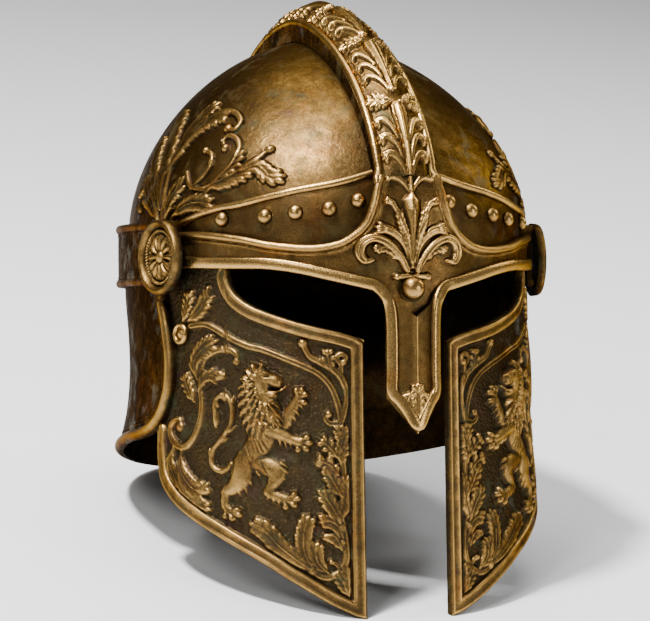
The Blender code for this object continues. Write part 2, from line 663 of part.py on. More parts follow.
def face_place(point_at, x, z):
    """(point, normal) on the brow or the nose guard at x to the side and height z."""
    step = NOSE_HALF / 20
    across = point_at(x + step, z) - point_at(x - step, z)
    up = point_at(x, z + step) - point_at(x, z - step)
    return point_at(x, z), across.cross(up).normalized()


def front_places(rows):
    """Places on the brow's prow for rows of (share of the face gap's half, share of the comb foot)."""
    return [face_place(brow_point, row[0] * FACE_GAP_HALF, row[1] * COMB_FOOT) for row in rows]


def nose_places(rows):
    """Places on the nose guard for rows of (share of the face gap's half, share of the nose drop)."""
    return [face_place(nose_point, row[0] * FACE_GAP_HALF, -row[1] * NOSE_DROP) for row in rows]


def eye_rim(look):
    """The raised rim along the lower edge of the brow band and round the nose guard."""
    half = []
    for turn in (70.6, 64, 56, 48, 41, 34, 28, 24, 20, 16.5, 13, 10):
        z = -EYE_DROP * lookup(BROW_EDGE, turn) + RIM_HALF * 0.95
        half.append(face_place(brow_point, wall_point(radians(turn), z).x, z))
    inset = NOSE_HALF - RIM_HALF * 0.9
    for wide, share in ((1.32, 0.27), (1.12, 0.33), (1.03, 0.42), (1.0, 0.54), (1.0, 0.66), (1.0, 0.82), (1.0, 0.955)):
        half.append(face_place(nose_point, inset * wide, -NOSE_SIDE_DROP * share))
    low = NOSE_DROP - RIM_HALF * 1.4
    for share in (0.66, 0.33):
        half.append(face_place(nose_point, inset * share, -low + (NOSE_DROP - NOSE_SIDE_DROP) * share))
    tip = face_place(nose_point, 0.0, -low)
    mirror = Matrix.Diagonal((-1, 1, 1))
    places = half + [tip] + [(mirror @ p, mirror @ n) for p, n in reversed(half)]
    points, faces = strip(frames_of(places), [RIM_HALF * 0.9] * len(places), RIM_RISE, 2 * GAP)
    return add_object("eye_rim", points, faces, look)


def cheek_outline():
    """The edge of a cheek plate as (turn, z), from the eye's outer corner round the front to the rear corner."""
    upper = [(turn, share) for turn, share in reversed(EYE_EDGE) if share > 0.30]
    route = [(turn, -EYE_DROP * share) for turn, share in upper[:-1]]
    for share in (0.0, 0.14, 0.28, 0.42, 0.56, 0.70, 0.85, 1.0):
        z = -EYE_DROP - (CHEEK_DROP - EYE_DROP) * share
        route.append((turn_of(FACE_GAP_HALF, z), z))
    return route + [(turn, -CHEEK_DROP * share) for turn, share in JAW_EDGE[2:-1]]


def inset_route(route, inset):
    """A route of (turn, z) moved to its left by the inset, measured on the wall."""
    degree = HALF_WIDTH * pi / 180
    flat = [Vector((turn * degree, z)) for turn, z in route]
    moved = []
    for i, p in enumerate(flat):
        before = (p - flat[i - 1]).normalized() if i else (flat[1] - p).normalized()
        after = (flat[i + 1] - p).normalized() if i < len(flat) - 1 else before
        mean = (before + after).normalized()
        reach = inset / max(0.6, mean.dot(after))
        moved.append((p.x / degree - mean.y * reach / degree, p.y + mean.x * reach))
    return moved


def cheek_rim(name, side, look):
    route = inset_route(cheek_outline(), RIM_HALF * 1.12)
    places = []
    for turn, z in route:
        p = wall_point(radians(turn * side), z)
        places.append((p, normal_at(p)))
    points, faces = strip(frames_of(places), [RIM_HALF] * len(route), RIM_RISE)
    return add_object(name, points, faces, look)


def neck_rim(look):
    """The rolled rim along the front edges and the flared foot of the neck guard."""
    front = [(81.6, 0.20), (79.2, 0.28), (77.0, 0.38), (75.8, 0.47), (75.9, 0.56), (77.2, 0.63), (80.0, 0.70),
             (84.4, 0.745), (90.0, 0.775)]
    foot = [(turn, lookup(NECK_EDGE, turn, 2) - 0.022) for turn in (97, 104, 112, 120, 128, 136, 144, 152, 160, 166, 173)]
    half_route = front + foot
    route = half_route + [(180.0, NECK_EDGE[-1][2] - 0.022)] + [(360 - t, s) for t, s in reversed(half_route)]
    places = []
    for turn, share in route:
        p = wall_point(radians(turn), -NECK_DROP * share)
        n = normal_at(p)
        places.append((p + n * (GAP + PLATE), n))
    points, faces = strip(frames_of(places), [RIM_HALF * 0.85] * len(route), RIM_RISE * 1.3)
    return add_object("neck_rim", points, faces, look)


def roundel(side, look, bright):
    label = "left" if side > 0 else "right"
    p = wall_point(radians(ROUNDEL_TURN * side), 0.0)
    n = normal_at(p)
    base = p + n * (rear_band_lift() + REAR_BAND + REAR_BAND_EDGE + GAP)
    r, t = ROUNDEL_RADIUS, ROUNDEL_THICK
    profile = [(0.0, 0.0), (r * 0.96, 0.0), (r, t * 0.35), (r * 0.97, t * 0.8), (r * 0.90, t), (r * 0.80, t * 0.9),
               (r * 0.74, t * 0.55), (0.0, t * 0.55)]
    turned(f"roundel_{label}", base, n, profile, 20, look)
    q, h = ROSETTE_RADIUS, t * 0.9
    rosette = [(0.0, 0.0), (q, 0.0), (q * 0.92, h * 0.45), (q * 0.5, h * 0.6), (q * 0.34, h * 0.5), (q * 0.30, h * 0.9),
               (0.0, h)]
    turned(f"rosette_{label}", base + n * (t * 0.55 + GAP), n, rosette, 2 * ROSETTE_PETALS, bright,
           ROSETTE_PETALS, 0.07)


def seat_plane():
    """A point and the normal of the plane that the helmet stands on, in the upright frame."""
    tip = lifted(turn_of(FACE_GAP_HALF, -CHEEK_DROP), -CHEEK_DROP, -PLATE / 2)
    nape = lifted(180.0, -NECK_DROP, GAP + PLATE / 2)
    lean = atan2(nape.z - tip.z, nape.y - tip.y)
    normal = Vector((0, -sin(lean), cos(lean)))
    return tip + normal * TIP_TRIM, normal, lean


def trim_flat(piece, point, normal):
    """Cuts off what lies below the standing plane and closes the cut."""
    bm = bmesh.new()
    bm.from_mesh(piece.data)
    parts = bm.verts[:] + bm.edges[:] + bm.faces[:]
    cut = bmesh.ops.bisect_plane(bm, geom=parts, dist=1e-7, plane_co=point, plane_no=normal, clear_inner=True)
    edges = [e for e in cut["geom_cut"] if isinstance(e, bmesh.types.BMEdge) and e.is_boundary]
    if edges:
        bmesh.ops.edgeloop_fill(bm, edges=edges)
        bmesh.ops.recalc_face_normals(bm, faces=bm.faces)
    bm.to_mesh(piece.data)
    bm.free()


def stand_up():
    """Leans the helmet onto its standing plane and centres it over the origin."""
    point, normal, lean = seat_plane()
    for name in ("cheek_plate_left", "cheek_plate_right", "cheek_rim_left", "cheek_rim_right", "neck_guard", "neck_rim"):
        trim_flat(bpy.data.objects[name], point, normal)
    turn = Matrix.Rotation(-lean, 3, "X")
    shown = [o for o in bpy.data.objects if o.type == "MESH" and not o.hide_render]
    corners = [turn @ v.co for o in shown for v in o.data.vertices]
    middle = (min(c.y for c in corners) + max(c.y for c in corners)) / 2
    HELMET.rotation_euler = (-lean, 0.0, 0.0)
    HELMET.location = (0.0, -middle, -(turn @ point).z)


def build():
    global HELMET
    for old in list(bpy.data.objects):
        bpy.data.objects.remove(old, do_unlink=True)
    HELMET = bpy.data.objects.new("helmet", None)
    bpy.context.scene.collection.objects.link(HELMET)
    plain = material("bronze", BRONZE, 0.42)
    bright = material("bright_bronze", BRIGHT_BRONZE, 0.34)
    dark = material("dark_bronze", DARK_BRONZE, 0.55)

    skull_cap(plain)
    brow_band(plain)
    nose_guard(plain)
    rear_band(plain)
    comb(dark)
    comb_vine(bright)
    neck_guard(plain)
    neck_rim(bright)
    eye_rim(bright)
    for side, label in ((1, "left"), (-1, "right")):
        cheek_plate(f"cheek_plate_{label}", side, dark)
        cheek_rim(f"cheek_rim_{label}", side, bright)
        comb_edge(f"comb_edge_{label}", side, bright)
        roundel(side, bright, bright)
        moulding(f"cap_moulding_{label}", CAP_MOULDING, COMB_FOOT, side, CORD_HALF, CORD_RISE, bright)
        wall_relief(f"lion_{label}", LION_STROKES, -CHEEK_DROP, side, LION_LIMB, LION_RISE, bright)
        wall_relief(f"front_vine_{label}", FRONT_VINE_STROKES, -CHEEK_DROP, side, VINE_LEAF, VINE_RISE, bright)
        wall_relief(f"rear_vine_{label}", REAR_VINE_STROKES, -CHEEK_DROP, side, VINE_LEAF, VINE_RISE, bright)
        wall_relief(f"cheek_scroll_{label}", SCROLL_STROKES, -CHEEK_DROP, side, VINE_LEAF, VINE_RISE, bright)
        wall_relief(f"cap_spray_{label}", SPRAY_STROKES, COMB_FOOT, side, VINE_LEAF, VINE_RISE, bright)
        for number, (turn, share) in enumerate(RIVETS, 1):
            p = wall_point(radians(turn * side), share * COMB_FOOT)
            turned(f"rivet_{label}_{number}", p + normal_at(p) * GAP, normal_at(p),
                   dome_profile(RIVET_RADIUS, RIVET_RADIUS * 0.8), 10, bright)
        p = wall_point(radians(70.7 * side), -CHEEK_DROP * 0.245)
        turned(f"cheek_stud_{label}", p + normal_at(p) * GAP, normal_at(p),
               dome_profile(STUD_RADIUS, STUD_RADIUS * 0.6), 16, bright)
    relief("fleur_de_lis", LILY_STROKES, front_places, LILY_LEAF, VINE_RISE * 1.4, bright, (FACE_GAP_HALF, COMB_FOOT))
    relief("nose_leaf", NOSE_LEAF_STROKES, nose_places, VINE_LEAF, VINE_RISE, bright, (FACE_GAP_HALF, NOSE_DROP))
    boss_z = -EYE_DROP * 0.38
    p = wall_point(0.0, boss_z)
    n = normal_at(p)
    turned("brow_boss", p + n * (brow_lift(0.0, boss_z) + GAP), n, dome_profile(BOSS_RADIUS, BOSS_RADIUS * 0.85), 20,
           bright)
    stand_up()


build()
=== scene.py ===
"""The looks of an antique bronze helmet.

Fine cast relief, rubbed golden highs over dark hollows, where the dark is patina and painted shade, and
mottled bronze. Every plate follows one wall, given by a turn around the head (0 at the nose, 90 at the
wearer's left ear) and a height over the ear line.
Relief is a height field in millimetres over that wall. The helmet is worked out upright and then leans back
on its cheek tips and neck guard, as the frame holds it.
"""

import bmesh
import bpy
import numpy as np
from math import atan2, cos, pi, radians, sin
from mathutils import Matrix, Vector


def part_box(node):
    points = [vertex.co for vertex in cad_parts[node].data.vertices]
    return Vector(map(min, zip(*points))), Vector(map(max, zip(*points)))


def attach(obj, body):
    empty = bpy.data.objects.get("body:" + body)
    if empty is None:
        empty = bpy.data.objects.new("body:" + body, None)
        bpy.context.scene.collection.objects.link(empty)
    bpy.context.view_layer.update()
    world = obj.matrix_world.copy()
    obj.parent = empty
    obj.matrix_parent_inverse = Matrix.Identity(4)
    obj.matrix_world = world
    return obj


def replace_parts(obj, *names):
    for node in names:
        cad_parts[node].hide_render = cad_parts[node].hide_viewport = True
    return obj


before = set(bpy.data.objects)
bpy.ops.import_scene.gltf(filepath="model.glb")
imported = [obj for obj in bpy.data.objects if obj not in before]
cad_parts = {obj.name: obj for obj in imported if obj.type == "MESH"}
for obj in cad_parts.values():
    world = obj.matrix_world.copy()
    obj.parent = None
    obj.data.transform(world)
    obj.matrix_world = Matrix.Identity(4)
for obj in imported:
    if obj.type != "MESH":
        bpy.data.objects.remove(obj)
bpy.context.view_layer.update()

# Driving sizes of the frame, in metres
HALF_WIDTH = 0.099
FRONT_REACH = 0.100
REAR_REACH = 0.152
EAR_LINE_Y = -0.017
DOME_START = 0.017
DOME_RISE = 0.102
DOME_SET_BACK = 0.026
CHEEK_DROP = 0.181
NECK_DROP = 0.116
PLATE = 0.0020
BAND = 0.0022
REAR_BAND = 0.0024
REAR_BAND_EDGE = 0.0012
GAP = 0.0003
CAP_FOOT = 0.0010
FACE_GAP_HALF = 0.0225
EYE_DROP = 0.042
NOSE_HALF = 0.0130
NOSE_DROP = 0.089
NOSE_SIDE_DROP = 0.071
NOSE_RIDGE_LIFT = 0.0135
NOSE_EDGE_LIFT = 0.0080
PROW_LIFT = 0.0045
PROW_HALF = 0.028
COMB_HALF = 0.0165
COMB_RISE = 0.0185
COMB_FOOT = 0.038
REAR_BAND_HALF = 0.0165
REAR_BAND_MIDDLE = 0.0020
SEAM_STEP = 0.0030
RIM_HALF = 0.0030
RIM_RISE = 0.0020
CORD_HALF = 0.0021
CORD_RISE = 0.0022
ROUNDEL_RADIUS = 0.0196
BOSS_RADIUS = 0.0062
RIVET_RADIUS = 0.0040
STUD_RADIUS = 0.0058
TIP_TRIM = 0.0009
FRONT_POWER = 2.05
REAR_POWER = 2.4
DOME_POWER = 1.8
SET_BACK_POWER = 2.5
PROBE = 0.00002
ROUNDEL_TURN = 76.6
BROW_END_TURN = 71.5

# (share of the cheek drop, share of the half width), then the same for the front and rear reach
WIDTH_BY_DROP = [(0.0, 1.0), (0.11, 1.005), (0.33, 1.02), (0.55, 1.045), (0.77, 1.07), (1.02, 1.091)]
FRONT_BY_DROP = [(0.0, 1.0), (0.24, 1.0), (0.55, 1.015), (1.02, 1.05)]
REAR_BY_DROP = [(0.0, 1.0), (0.11, 0.965), (0.225, 0.865), (0.34, 0.800), (0.45, 0.825), (0.53, 0.915),
                (0.64, 0.967), (1.02, 0.98)]
# (turn in degrees, share of the eye drop)
EYE_EDGE = [(13.0, 1.0), (15.0, 0.965), (20.0, 0.90), (26.0, 0.845), (32.5, 0.775), (39.0, 0.69),
            (44.0, 0.615), (47.6, 0.54), (50.5, 0.45), (52.4, 0.34), (53.3, 0.24), (53.8, 0.12)]
# (turn, share of the cheek drop)
JAW_EDGE = [(13.0, 1.0), (15.5, 0.992), (21.8, 0.961), (28.2, 0.923), (34.6, 0.885), (40.7, 0.848),
            (47.7, 0.812), (55.0, 0.776), (62.4, 0.741), (69.4, 0.705), (74.8, 0.668), (78.4, 0.631),
            (80.0, 0.592), (81.2, 0.54), (81.4, 0.50)]
# (turn, share of the eye drop), then (turn, share of the comb foot)
BROW_EDGE = [(0.0, 0.71), (7.2, 0.47), (9.6, 0.43), (13.0, 0.385), (17.4, 0.34), (24.0, 0.275), (32.0, 0.20),
             (41.0, 0.155), (52.0, 0.15), (71.5, 0.13)]
BAND_EDGE = [(0.0, 1.0), (9.0, 1.0), (10.2, 0.90), (11.5, 0.68), (13.5, 0.46), (16.9, 0.30), (21.0, 0.20),
             (27.9, 0.155), (39.3, 0.20), (48.5, 0.28), (62.0, 0.345), (71.5, 0.345)]
# (turn, upper edge, lower edge) as shares of the neck drop
NECK_EDGE = [(74.2, 0.43, 0.57), (75.4, 0.37, 0.62), (77.8, 0.26, 0.70), (80.6, 0.17, 0.745),
             (81.4, -0.026, 0.755), (85.6, -0.026, 0.785), (94.0, -0.026, 0.81), (107.7, -0.026, 0.835),
             (125.0, -0.026, 0.885), (145.0, -0.026, 0.955), (160.0, -0.026, 1.0), (180.0, -0.026, 1.0)]
# (arc angle from forehead to nape, share of the comb's rise), then (share of half width, share of rise)
COMB_CROWN = [(14.0, 0.43), (23.0, 0.52), (35.0, 0.66), (60.0, 0.88), (90.0, 1.0), (125.0, 0.95),
              (150.0, 0.72), (171.0, 0.42)]
COMB_OUTSIDE = [(-1.0, 0.40), (-0.82, 0.52), (-0.5, 0.83), (0.0, 1.0), (0.5, 0.83), (0.82, 0.52),
                (1.0, 0.40)]
CAP_MOULDING = [(9.6, 1.095), (19.6, 0.97), (31.1, 0.875), (40.0, 0.79), (50.0, 0.69), (57.8, 0.64),
                (64.0, 0.575), (69.5, 0.50), (72.8, 0.445)]
RIVETS = [(14.3, 0.73), (22.7, 0.62), (32.4, 0.575), (41.5, 0.525), (55.6, 0.495)]

# The photograph's view of the helmet held upright
VIEW_AZIMUTH = radians(21.0)
VIEW_DISTANCE = 1.6
VIEW_SCALE = 0.000538       # metres per pixel at the target
IMAGE_WIDTH, IMAGE_HEIGHT = 650, 621
AXIS_PIXEL = (323.0, 260.0)  # where the photograph shows the head's axis at the ear line
SENSOR_WIDTH = 36.0
# Half widths before the axis, steps, and how much of each is taken
RAY_START, RAY_STEPS, RAY_CARE = 2.2, 90, 0.8

MM = 0.001
# Fineness of the plates: columns and rows, each one more than a multiple of the back's step; the comb's
# two feet make up its columns
CHEEK_COLUMNS, CHEEK_ROWS = 257, 337
COMB_COLUMNS, COMB_ROWS = 95, 549
BROW_COLUMNS, BROW_ROWS = 361, 81
NOSE_COLUMNS, NOSE_ROWS = 65, 113
NECK_COLUMNS, NECK_ROWS = 321, 101
REAR_COLUMNS, REAR_ROWS = 321, 41
BACK_STEP = 4                # rows and columns of a plate's front for each of its back
DOME_COLUMNS, DOME_ROWS, DOME_FOOT_ROWS, DOME_BACK_STEP = 240, 90, 9, 3
DOME_TONE = 0.45
# Fineness of the ornaments
SPRAY_COLUMNS, SPRAY_ROWS = 221, 201
LILY_COLUMNS, LILY_ROWS = 153, 111
SPRIG_COLUMNS, SPRIG_ROWS = 61, 71
SHARP_ANGLE, BEAD_SHARP_ANGLE = 50, 60   # degrees over which an edge is shaded as sharp
BISECTIONS = 30
# How widely a height is compared with what is round it, and how much that counts: a place lower than what is
# round it gets a darker tone, painted shade in creases and at the feet of raised work
TONE_ROUNDS, TONE_EDGES = 10, 1.6
BACK_TONE = 0.12
RAISED_LEAST, SINK = 0.12, 0.4   # millimetres: where an ornament starts, and how deep its back lies
CHEEK_BLEND = 12.0           # degrees over which a cheek's columns turn upright at its front edge
CHEEK_STEP = 0.8             # degrees over which its top edge rises behind the eye
CHEEK_RELIEF_LIFT = 0.001
# Millimetres between a leaf's lobes, and their half width as a share of that
LOBE_SPACING, LOBE_HALF = 4.0, 0.44
LOBES_LEAST, LOBES_MOST = 3, 7
LOBE_FIRST, LOBE_RUN = 0.30, 0.62    # share of the leaf at its first lobe, and from there to its last
BODY_MORE, BODY_HEIGHTS = 0.25, np.linspace(0.72, 0.86, 5)
# A leaf's flute: (share of the leaf's length from its lobe, share of its reach to the side), then shares of
# its size
FLUTE_LINE = [(-0.30, 0.0), (-0.135, 0.34), (0.0, 0.80), (0.03, 1.10)]
FLUTE_WIDTHS, FLUTE_HEIGHTS = [0.30, 0.55, 0.85, 1.05, 0.80, 0.35], [0.70, 0.84, 0.95, 1.05, 1.05, 0.85]
TIP_RUNS, TIP_WIDTHS, TIP_HEIGHTS = (0.72, 0.86, 1.0), [0.5, 0.95, 1.05, 0.4], [0.9, 1.05, 1.1, 0.8]
VEIN_WIDTHS, VEIN_HEIGHTS = [0.50, 0.45, 0.35], [1.15, 1.15, 1.05]
# A curling leaf: shares of its size along it, then along each of its three lobes
HOOK_WIDTHS, HOOK_HEIGHTS = [0.35, 0.55, 0.85, 1.0], [0.74, 0.84, 0.95, 1.0]
HOOK_LOBE_WIDTHS, HOOK_LOBE_HEIGHTS = [0.40, 0.52, 0.56, 0.46, 0.2], [0.86, 1.0, 1.1, 1.06, 0.8]
HOOK_LEANS = (-0.85, 0.0, 0.85)
HOOK_GROOVE = 0.16
SCROLL_WIDTHS, SCROLL_HEIGHTS = [0.8, 1.0, 1.0, 0.8], [0.8, 1.0, 1.0, 1.0]
# (share along a leaf, half width as a share of the leaf's): its body, then the reach of its lobes
LEAF_BODY = [(0.0, 0.10), (0.3, 0.22), (0.6, 0.42), (0.85, 0.46), (1.0, 0.15)]
LEAF_SPREAD = [(0.0, 0.2), (0.3, 0.72), (0.6, 1.0), (0.85, 0.95), (1.0, 0.6)]
LILY_LIFT = 0.007
# Where the lily and the nose's sprig may lie, to the side and in height, and how high their rubbed parts
# stand
LILY_HALF, LILY_HEIGHTS, LILY_TONE_SCALE = 0.034, (-0.012, 0.037), 3.4
SPRIG_HALF, SPRIG_HEIGHTS, SPRIG_TONE_SCALE = 0.0100, (-0.0835, -0.060), 2.4
BEAD_TURN = 9.3              # turn of the comb's beads where they run down onto the brow band
BEAD_TONES = (0.35, 1.0)     # how rubbed a moulding is at its foot and on its crown; the darker foot is painted shade as well as patina
BEAD_SECTION = [(-cos(a), sin(a)) for a in np.linspace(0.0, pi, 11)]   # (across, up)
COMB_INNER = 0.88            # the comb's inside, as a share of its half width
PETALS, BEADS = 12, 54
WHOLE = (slice(None), slice(None))   # every place of a relief
CHEEK_NODES = ("cheek_plate", "cheek_rim", "lion", "front_vine", "rear_vine", "cheek_scroll")
COMB_BORDER = [(0.0, 0.0), (4.2, 0.0), (4.7, 0.7), (5.2, 0.7), (5.7, 0.0)]
REAR_BORDER = [(0.0, 0.3), (0.4, 0.9), (1.2, 1.25), (2.2, 1.3), (3.1, 1.1), (3.7, 0.5), (4.0, 0.0),
               (4.6, 0.3), (5.2, 0.3), (5.6, 0.0)]


def along(table, x, column=1):
    """Smooth values of a table at the array x, through each of its rows."""
    rows = np.array(table, float)
    xs, ys = rows[:, 0], rows[:, column]
    last = len(xs) - 1
    before, after = np.maximum(np.arange(last + 1) - 1, 0), np.minimum(np.arange(last + 1) + 1, last)
    slopes = (ys[after] - ys[before]) / (xs[after] - xs[before])
    x = np.clip(x, xs[0], xs[-1])
    i = np.clip(np.searchsorted(xs, x, side="right") - 1, 0, last - 1)
    step = xs[i + 1] - xs[i]
    t = (x - xs[i]) / step
    return ((2 * t**3 - 3 * t**2 + 1) * ys[i] + (t**3 - 2 * t**2 + t) * step * slopes[i]
            + (3 * t**2 - 2 * t**3) * ys[i + 1] + (t**3 - t**2) * step * slopes[i + 1])


def wall_radius(turn, z):
    """Distance from the head's axis to the wall, before the dome closes. Turn is in radians."""
    drop = np.maximum(0.0, -z / CHEEK_DROP)
    half = HALF_WIDTH * along(WIDTH_BY_DROP, drop)
    front = np.cos(turn) > 0
    reach = np.where(front, FRONT_REACH * along(FRONT_BY_DROP, drop), REAR_REACH * along(REAR_BY_DROP, drop))
    power = np.where(front, FRONT_POWER, REAR_POWER)
    return ((np.abs(np.sin(turn)) / half) ** power + (np.abs(np.cos(turn)) / reach) ** power) ** (-1 / power)


def dome_share(z):
    return np.clip((z - DOME_START) / DOME_RISE, 0.0, 1.0)


def axis_y(z):
    return EAR_LINE_Y + DOME_SET_BACK * dome_share(z) ** SET_BACK_POWER


def outside_of(p):
    """Grows from the axis to 1 at the wall, for points in the last axis of p."""
    x, y, z = p[..., 0], p[..., 1], p[..., 2]
    dy = axis_y(z) - y
    share = np.maximum(0.0, (z - DOME_START) / DOME_RISE)
    return (np.hypot(x, dy) / wall_radius(np.arctan2(x, dy), z)) ** DOME_POWER + share**DOME_POWER


def slopes_at(p):
    steps = np.eye(3) * PROBE
    return np.stack([(outside_of(p + s) - outside_of(p - s)) / (2 * PROBE) for s in steps], axis=-1)


def unit(v):
    return v / np.maximum(np.linalg.norm(v, axis=-1, keepdims=True), 1e-12)


def wall_points(turn_deg, z):
    turn, z = np.broadcast_arrays(np.radians(np.asarray(turn_deg, float)), np.asarray(z, float))
    r = wall_radius(turn, z) * (1 - dome_share(z) ** DOME_POWER) ** (1 / DOME_POWER)
    return np.stack([r * np.sin(turn), axis_y(z) - r * np.cos(turn), z], axis=-1)


def wall(turn_deg, z):
    """(points, normals) of the wall at turns in degrees and heights in metres."""
    p = wall_points(turn_deg, z)
    return p, unit(slopes_at(p))


def lifted(turn_deg, z, lift):
    p, n = wall(turn_deg, z)
    return p + n * np.asarray(lift, float)[..., None]


def turn_of(x, z):
    """Turn in degrees where the wall in front is x to the side."""
    x, z = np.broadcast_arrays(np.asarray(x, float), np.asarray(z, float))
    low, high = np.zeros(x.shape), np.full(x.shape, 90.0)
    for _ in range(BISECTIONS):
        middle = (low + high) / 2
        nearer = wall_points(middle, z)[..., 0] < np.abs(x)
        low, high = np.where(nearer, middle, low), np.where(nearer, high, middle)
    return low * np.where(x >= 0, 1.0, -1.0)


def brow_lift(turn_deg, z):
    x = np.abs(wall(turn_deg, z)[0][..., 0])
    return GAP + BAND + PROW_LIFT / (1 + (x / PROW_HALF) ** 4)


def nose_lift(x):
    share = np.minimum(1.0, np.abs(x) / NOSE_HALF)
    return NOSE_RIDGE_LIFT + (NOSE_EDGE_LIFT - NOSE_RIDGE_LIFT) * share**1.3


def rear_band_lift():
    return 5 * GAP + PLATE


def standing():
    """Turns the upright helmet into the frame's pose: a 3 by 3 turn and a shift."""
    tip = lifted(turn_of(FACE_GAP_HALF, -CHEEK_DROP), -CHEEK_DROP, -PLATE / 2)
    nape = lifted(180.0, -NECK_DROP, GAP + PLATE / 2)
    lean = atan2(nape[2] - tip[2], nape[1] - tip[1])
    rest = tip + np.array([0.0, -sin(lean), cos(lean)]) * TIP_TRIM
    turn = np.array(Matrix.Rotation(-lean, 3, "X"))
    band = np.array([REAR_BAND_MIDDLE - REAR_BAND_HALF, REAR_BAND_MIDDLE + REAR_BAND_HALF])
    rear = lifted(180.0, band, np.full(2, rear_band_lift() + REAR_BAND + REAR_BAND_EDGE)) @ turn.T
    shift = np.array([0.0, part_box("rear_band")[1].y - rear[:, 1].max(), -(turn @ rest)[2]])
    return turn, shift


TURN, SHIFT = standing()


def stand(points):
    """Upright points into the frame's pose, flattened where they meet the surface."""
    placed = points @ TURN.T + SHIFT
    placed[..., 2] = np.maximum(placed[..., 2], 0.0)
    return placed


def view_axes():
    look = np.array([sin(VIEW_AZIMUTH), cos(VIEW_AZIMUTH), 0.0])
    right = np.array([cos(VIEW_AZIMUTH), -sin(VIEW_AZIMUTH), 0.0])
    height = (AXIS_PIXEL[1] - IMAGE_HEIGHT / 2) * VIEW_SCALE
    aim = np.array([0.0, 0.0, height]) + right * (IMAGE_WIDTH / 2 - AXIS_PIXEL[0]) * VIEW_SCALE
    return look, right, aim - look * VIEW_DISTANCE


def seen(pixels, lift):
    """(turn in degrees, z) where the photograph's pixels meet the wall raised by the lift."""
    look, right, eye = view_axes()
    pixels = np.asarray(pixels, float)
    focal = VIEW_DISTANCE / VIEW_SCALE
    ray = look + right * (pixels[:, :1] - IMAGE_WIDTH / 2) / focal
    ray = unit(ray + np.array([0.0, 0.0, 1.0]) * (IMAGE_HEIGHT / 2 - pixels[:, 1:2]) / focal)
    reach = np.full(len(pixels), VIEW_DISTANCE - RAY_START * HALF_WIDTH)
    for _ in range(RAY_STEPS):
        p = eye + ray * reach[:, None]
        slope = slopes_at(p)
        away = (outside_of(p) - 1) / np.maximum(np.linalg.norm(slope, axis=-1), 1e-6) - lift
        reach = np.minimum(reach + away * RAY_CARE, VIEW_DISTANCE)
    p = eye + ray * reach[:, None]
    return np.degrees(np.arctan2(p[:, 0], axis_y(p[:, 2]) - p[:, 1])), p[:, 2]


def lengths_along(points):
    """The way from the first of some points to each of them."""
    return np.concatenate([[0.0], np.cumsum(np.linalg.norm(np.diff(points, axis=0), axis=1))])


# Lengths along the wall at two heights, for true widths in the relief's own plane
ARC_TURNS = np.linspace(0.0, 180.0, 721)
ARC_RINGS = {"cheek": lengths_along(wall(ARC_TURNS, -0.5 * CHEEK_DROP)[0]),
             "brow": lengths_along(wall(ARC_TURNS, 0.0)[0])}


def arc_of(turn, ring):
    """Millimetres along the wall from the middle of the face to a turn."""
    return np.interp(np.abs(turn), ARC_TURNS, ARC_RINGS[ring]) / MM


def on_cheek(pixels):
    """The photograph's pixels on the wearer's right cheek as (u, v) millimetres in its relief's plane."""
    turn, z = seen(pixels, CHEEK_RELIEF_LIFT)
    return np.stack([arc_of(turn, "cheek"), z / MM], axis=-1)


def smooth(points, steps=8):
    """A smooth curve through rows of numbers, with the given steps between each two rows."""
    rows = np.asarray(points, float)
    last = len(rows) - 1
    out = []
    for i in range(last):
        before, a, b, after = rows[max(i - 1, 0)], rows[i], rows[i + 1], rows[min(i + 2, last)]
        for t in np.arange(steps) / steps:
            out.append(0.5 * (2 * a + (b - before) * t + (2 * before - 5 * a + 4 * b - after) * t**2
                              + (3 * a - before - 3 * b + after) * t**3))
    out.append(rows[-1])
    return np.array(out)


